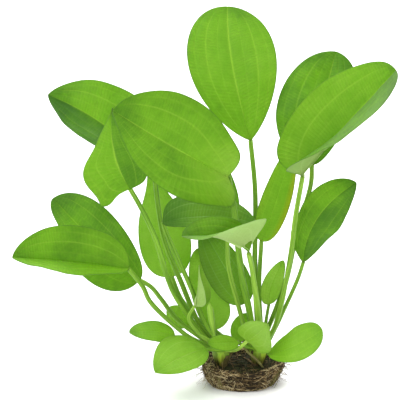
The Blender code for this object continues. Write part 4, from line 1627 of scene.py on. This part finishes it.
    def crumbs(self) -> Surface:
        """Small uneven lumps on the soil: two rings of five points and two poles each.

        The upper ring is turned a little, and the points have random radii. A lump is spun about its
        middle and scaled by a power of a random number. Its reach is the root of one, so that the
        lumps lie evenly.

        Returns:
            One skin with every lump.
        """
        rng = np.random.default_rng(31)
        count, sides = self.crumb_count, 5
        reach = self.crumb_reach * np.sqrt(rng.uniform(0, 1, count))
        at = self.polar(reach, rng.uniform(0, 2 * np.pi, count), 0.0)
        at[:, 2] = SOIL_TOP + 0.1 + self.humps(at)
        at = self.leant(at)
        size = rng.uniform(0.25, 0.95, (count, 1, 1, 1)) ** 1.3
        turn = turns(sides)
        low = np.stack([np.cos(turn), np.sin(turn), -0.45 + 0 * turn], -1)
        high = np.stack([np.cos(turn + 0.6), np.sin(turn + 0.6), 0.45 + 0 * turn], -1)
        shape = np.stack([low, high])[None] * rng.uniform(0.65, 1.25, (count, 2, sides, 1))
        spin = rng.uniform(0, 2 * np.pi, (count, 1, 1))
        x = shape[..., 0] * np.cos(spin) - shape[..., 1] * np.sin(spin)
        y = shape[..., 0] * np.sin(spin) + shape[..., 1] * np.cos(spin)
        lumps = np.stack([x, y, shape[..., 2]], -1) * size + at[:, None, None]
        pole = [0, 0, 0.8] * size[:, 0, 0]
        return Surface.closed_tubes(lumps, at - pole, at + pole)

    def light_and_tone_at(self, turn: Array, v: Array) -> Array:
        """What a fibre's place adds to its tone: bells round the ball, partly own tone and partly painted
        light and shade, and one more of painted shade at the rim.

        Args:
            turn: each fibre's angle, (count, 1).
            v: its places along the outline, (count, steps).

        Returns:
            The sum for each fibre, (count,).
        """
        tone = sum(amount * self.near(turn, degrees, width) for degrees, width, amount in self.tones_and_painted_light)
        degrees, width, amount = self.rim_painted_shade
        high = smooth_step((v.mean(1, keepdims=True) - 0.5) / 0.08)
        return (tone + amount * self.near(turn, degrees, width) * high)[:, 0]

    def wandering(self, fibres: Fibres, turn_span: Pair, v_span: Pair, v_range: Pair, bow: float,
                  curl: float = 0.03, around: Pair = (0.0, 0.0)) -> Surface:
        """Roots that wander over the wall: both outline places drift, and the ends dip into the mat.

        The angle and the place on the outline go straight across the middle, plus sines that sway,
        and the lift is a power of half a sine.

        Args:
            fibres: how many, how thick and what tone.
            turn_span: the least and most degrees that one runs round.
            v_span: the least and most of the outline that one climbs.
            v_range: where along the outline they start.
            bow: how far their middles stand out.
            curl: how far they sway, as a turn in radians.
            around: the degrees that they gather at and the spread, or no spread for all round.

        Returns:
            Their skins.
        """
        rng = fibres.dice()
        n = fibres.count
        t = np.linspace(0, 1, fibres.steps)[None, :]
        sign = rng.choice([-1.0, 1.0], (n, 1))
        middle = rng.uniform(0, 2 * np.pi, (n, 1))
        if around[1]:
            middle = np.radians(rng.normal(*around, (n, 1)))
        turn = middle + sign * np.radians(rng.uniform(*turn_span, (n, 1))) * (t - 0.5)
        v = rng.uniform(*v_range, (n, 1))
        climb = rng.choice([-1.0, 1.0], (n, 1))
        v = v + climb * rng.uniform(*v_span, (n, 1)) * (t - 0.5)
        wander = rng.uniform(0, 2 * np.pi, (n, 1, 2)) + rng.uniform(3, 9, (n, 1, 2)) * t[..., None]
        turn = turn + curl * np.sin(wander[..., 0])
        v = np.clip(v + 0.5 * curl * np.sin(wander[..., 1]), *self.wall_span)
        lift = -0.5 + (0.4 + rng.uniform(0, bow, (n, 1))) * np.sin(np.pi * t) ** 0.6
        # Painted light and shade round the ball shift each fibre's tone.
        return fibres.skins(self.wall(turn, v, lift + fibres.radius[0]), rng, self.light_and_tone_at(middle, v))

    def loose(self, fibres: Fibres, length: Pair, droop: float) -> Surface:
        """Hairs that leave the mat at its sides: out along the wall's normal, bending down and sideways.

        The way out grows with the way along, the bends with its square, and a sine sways them.

        Args:
            fibres: how many, how thick and what tone.
            length: the least and most millimetres.
            droop: how much they bend down.

        Returns:
            Their skins.
        """
        rng = fibres.dice()
        n = fibres.count
        t = np.linspace(0, 1, fibres.steps)[None, :, None]
        side = rng.choice([0.0, np.pi, 1.15 * np.pi], (n, 1)) + rng.normal(0, 0.6, (n, 1))
        v = rng.uniform(0.42, 0.62, (n, 1))
        start = self.wall(side, v, -0.6)
        out = unit(self.wall(side, v, 1.0) - start)
        sideways = rng.normal(0, 0.8, (n, 1, 3))
        far = rng.uniform(*length, (n, 1, 1))
        sway = np.sin(rng.uniform(0, 6, (n, 1, 1)) + rng.uniform(3, 8, (n, 1, 1)) * t)
        sway = sway * rng.normal(0, 0.14, (n, 1, 3))
        paths = start + far * (out * t + sideways * t**2 * 0.6 + sway * t - np.array([0, 0, droop]) * t**2)
        return fibres.skins(paths, rng)

    def soil_threads(self, fibres: Fibres) -> Surface:
        """Thin roots that lie on the soil: lines that turn as they go, on half a sine of height.

        Args:
            fibres: how many, how thick and what tone.

        Returns:
            Their skins, with their ends in the soil.
        """
        rng = fibres.dice()
        n = fibres.count
        t = np.linspace(0, 1, fibres.steps)[None, :]
        reach = 19.5 * np.sqrt(rng.uniform(0.05, 1, (n, 1)))
        at = rng.uniform(0, 2 * np.pi, (n, 1))
        way = rng.uniform(0, 2 * np.pi, (n, 1)) + rng.normal(0, 1.2, (n, 1)) * t
        far = rng.uniform(3, 11, (n, 1)) * (t - 0.5)
        x = reach * np.cos(at) + far * np.cos(way)
        y = reach * np.sin(at) + far * np.sin(way)
        bound = np.minimum(1, 20.5 / np.maximum(np.hypot(x, y), 1e-6))
        flat = np.stack([x * bound, y * self.depth_ratio * bound, 0 * x], -1)
        rise = SOIL_TOP - 0.3 + self.humps(flat)
        rise = rise + rng.uniform(0.5, 1.4, (n, 1)) * np.sin(np.pi * t)
        return fibres.skins(self.leant(flat + rise[..., None] * [0, 0, 1]), rng)

    def strand(self, turn: int, lean: float) -> Surface:
        """A thick root that runs down the wall, with finer ones beside it.

        Its reach is a power of its height plus a small sine, and its angle leans with the height and
        sways. A finer one is the same path, moved more the lower it is.

        Args:
            turn: its angle in degrees at the top.
            lean: how many degrees it leans on its way down.

        Returns:
            One skin with every root of it.
        """
        rows = self.strand_rows
        t = np.linspace(0, 1, rows)
        heights = self.strand_top - self.strand_drop * t
        reach = 19.9 + 5.4 * (heights / self.height) ** 0.7 + 0.25 * np.sin(5 * t + turn)
        angle = np.radians(turn + lean * (1 - heights / self.height) + 1.2 * np.sin(4 * t))
        path = self.leant(self.polar(reach, angle, heights))[None]
        thick = Fibres(1, turn, radius=(0.56, 0.60), tone=(0.3, 0.6), sides=10)
        fine = Fibres(14, turn, radius=(0.12, 0.26), tone=(0.0, 0.8), sides=4)
        rng = thick.dice()
        main_root = thick.skins(path, rng)
        shift = rng.normal(0, 1.0, (fine.count, 1, 3)) * np.linspace(0.4, 1.1, rows)[None, :, None]
        return Surface.joined([main_root, fine.skins(path + shift * [1, 0.5, 1], rng)])

    def fibres(self) -> dict[str, Surface]:
        """The mat of fibres: long roots that circle, short ones that climb, a pale tangle at the left.

        Returns:
            A skin for each group, by the name of its piece.
        """
        return {
            "circling_roots": self.wandering(
                Fibres(950, 41, radius=(0.16, 0.40), tone=(-0.1, 1.05), steps=12),
                turn_span=(25, 95), v_span=(0.0, 0.07), v_range=(0.28, 0.62), bow=1.0, curl=0.02),
            "climbing_roots": self.wandering(
                Fibres(650, 42, radius=(0.10, 0.26), tone=(-0.05, 1.2)),
                turn_span=(6, 34), v_span=(0.03, 0.20), v_range=(0.29, 0.60), bow=1.0, curl=0.02),
            "tangled_roots": self.wandering(
                Fibres(1100, 45, radius=(0.10, 0.24), tone=(-0.1, 1.5), steps=14),
                turn_span=(4, 22), v_span=(0.02, 0.14), v_range=(0.29, 0.63), bow=1.4, curl=0.08,
                around=(208, 21)),
            "coarse_roots": self.wandering(
                Fibres(260, 46, radius=(0.22, 0.44), tone=(0.0, 1.1), steps=12),
                turn_span=(14, 52), v_span=(0.03, 0.16), v_range=(0.30, 0.62), bow=0.9,
                around=(318, 30)),
            "rim_threads": self.wandering(
                Fibres(800, 43, radius=(0.10, 0.28), tone=(-0.1, 1.1), steps=11),
                turn_span=(8, 46), v_span=(0.01, 0.08), v_range=(0.53, 0.645), bow=1.3, curl=0.04),
            "loose_hairs": self.loose(
                Fibres(420, 44, radius=(0.07, 0.16), tone=(0.25, 1.0), steps=12),
                length=(1.5, 6.0), droop=0.12),
            "soil_threads": self.soil_threads(
                Fibres(190, 47, radius=(0.07, 0.22), tone=(0.0, 0.7), steps=12)),
            "crossing_root": self.crossing_root(),
        }

    @staticmethod
    def crossing_root() -> Surface:
        """The brown root that lies across the soil, from behind the right crown to the front.

        Returns:
            Its skin, along the curve through four points.
        """
        places = np.array([[-0.6, 8.6, 12.6], [1.6, 4.0, 13.0], [4.4, -1.2, 12.9], [7.6, -5.6, 11.9]])
        root = Fibres(1, 48, radius=(0.5, 0.55), tone=(0.42, 0.5), steps=20, sides=8)
        return root.skins(catmull_rom(places, np.linspace(0, 1, root.steps))[None], root.dice())

    @staticmethod
    def dry_stalk() -> Surface:
        """The pale dry stalk of a lost leaf, which leans from the right crown's foot to the left.

        Returns:
            Its skin, along the curve through four points.
        """
        places = np.array([[11.6, -9.0, 11.2], [7.6, -8.9, 16.4], [1.6, -7.3, 21.6], [-4.6, -3.2, 27.8]])
        stalk = Fibres(1, 49, radius=(0.85, 0.9), tone=(0.5, 0.55), steps=24, sides=12)
        return stalk.skins(catmull_rom(places, np.linspace(0, 1, stalk.steps))[None], stalk.dice())

    def build(self, palette: Palette) -> None:
        """Builds and dresses everything below the crowns.

        Args:
            palette: makes the materials.
        """
        mat, soil, fibre, pale = ((palette.get(finish),) for finish in (MAT, SOIL, FIBRE, PALE_ROOT))
        self.mat().piece("root_mat_body", "root_mat", ("root_mat",), mat)
        self.soil().piece("soil_bed", "soil", ("soil",), soil)
        self.crumbs().piece("soil_crumbs", "soil", (), soil)
        for name, turn, lean in self.strands:
            self.strand(turn, lean).piece(f"{name}_strand", "root", (name,), pale)
        for name, skin in self.fibres().items():
            skin.piece(name, "root_mat", (), fibre)
        self.dry_stalk().piece("dry_stalk", "root", (), pale)


@dataclass(frozen=True)
class Lamp:
    """A square soft lamp: its place, the length of its side in metres, its watts and what it looks at."""

    name: str
    place: Point
    size: float
    power: float
    aim_at: Point

    def build(self) -> None:
        """Adds the lamp to the scene, turned so that its light falls where it aims."""
        light = bpy.data.lights.new(self.name, "AREA")
        light.shape = "SQUARE"
        light.size = self.size
        light.energy = self.power
        obj = in_scene(self.name, light)
        obj.location = self.place
        aim = Vector(self.aim_at) - Vector(self.place)
        obj.rotation_euler = aim.to_track_quat("-Z", "Y").to_euler()


@dataclass(frozen=True)
class Studio:
    """A pale floor that curves up behind, soft lamps, and the camera at the photograph's angle.

    Its lengths are metres. Elevation is in degrees, and lens and sensor are millimetres.
    """

    target: Point = (-0.0276, 0.0, 0.11554)
    elevation: float = 15.0
    distance: float = 1.2
    lens: float = 180.0
    sensor: float = 36.0
    floor_reach: float = 2.4
    curve_r: float = 0.8
    daylight: float = 0.82
    rows: int = 60
    sides: int = 96

    def floor(self, palette: Palette) -> None:
        """One sheet: a disc of rings whose outer ones bend up in a quarter circle.

        Args:
            palette: makes the materials.
        """
        v = np.linspace(0.02, 1, self.rows)[:, None]
        turn = turns(self.sides)[None, :]
        run = v * (self.floor_reach + self.curve_r * np.pi / 2)
        bend = np.maximum(run - self.floor_reach, 0) / self.curve_r
        radius = np.minimum(run, self.floor_reach) + self.curve_r * np.sin(bend)
        height = self.curve_r * (1 - np.cos(bend))
        rings = np.stack([radius * np.cos(turn), radius * np.sin(turn), height + 0 * turn], -1)
        here = np.arange(self.rows * self.sides).reshape(self.rows, self.sides)
        following = np.roll(here, -1, axis=1)
        quads = np.stack([here[:-1], here[1:], following[1:], following[:-1]], -1).reshape(-1, 4)
        centre = np.stack([np.full(self.sides, here.size), here[0], following[0]], -1)
        sheet = Surface(np.vstack([rings.reshape(-1, 3), [[0, 0, 0]]]), quads, centre)
        in_scene("floor", sheet.mesh("floor", (palette.get(FLOOR),), step=1.0))

    def lamps(self) -> tuple[Lamp, ...]:
        """The lamps of the studio.

        Returns:
            The key and the fill, which look at the plant, and one that lights the floor behind it.
        """
        return (Lamp("key", (-0.75, -0.85, 1.0), 1.1, 16.4, self.target),
                Lamp("fill", (0.95, -0.85, 0.55), 0.9, 3.3, self.target),
                Lamp("overhead", (0.0, 1.0, 1.9), 1.8, 60.0, (0.0, 1.0, 0.0)))

    def world(self) -> None:
        """Even white light from all round."""
        world = bpy.data.worlds.new("studio")
        world.use_nodes = True
        background = world.node_tree.nodes["Background"]
        background.inputs["Color"].default_value = (1.0, 1.0, 1.0, 1.0)
        background.inputs["Strength"].default_value = self.daylight
        bpy.context.scene.world = world

    def camera(self) -> None:
        """The camera on the viewer's side, looking down at the plant by the elevation."""
        data = bpy.data.cameras.new("camera")
        data.lens = self.lens
        data.sensor_width = self.sensor
        data.clip_start, data.clip_end = 0.05, 20.0
        tilt = np.radians(self.elevation)
        back = Vector((0.0, -np.cos(tilt), np.sin(tilt)))
        obj = in_scene("camera", data)
        obj.location = Vector(self.target) + back * self.distance
        obj.rotation_euler = (-back).to_track_quat("-Z", "Y").to_euler()
        bpy.context.scene.camera = obj

    def build(self, palette: Palette) -> None:
        """Sets up the studio.

        Args:
            palette: makes the materials.
        """
        self.camera()
        self.floor(palette)
        for lamp in self.lamps():
            lamp.build()
        self.world()
        bpy.context.scene.view_settings.view_transform = "Standard"


def main() -> None:
    """Builds the studio and the plant."""
    logging.basicConfig(level=logging.INFO, format="%(name)s: %(message)s")
    palette = Palette()
    Studio().build(palette)
    RootBall().build(palette)
    for crown in (Crown("crown_left", CROWN_LEFT, 20), Crown("crown_right", CROWN_RIGHT, 170)):
        crown.build(palette)
    for leaf in LEAVES:
        leaf.build(palette)
    RolledLeaf("rolled_leaf", ROLLED_ROUTE).build(palette)


if __name__ == "__main__":
    main()
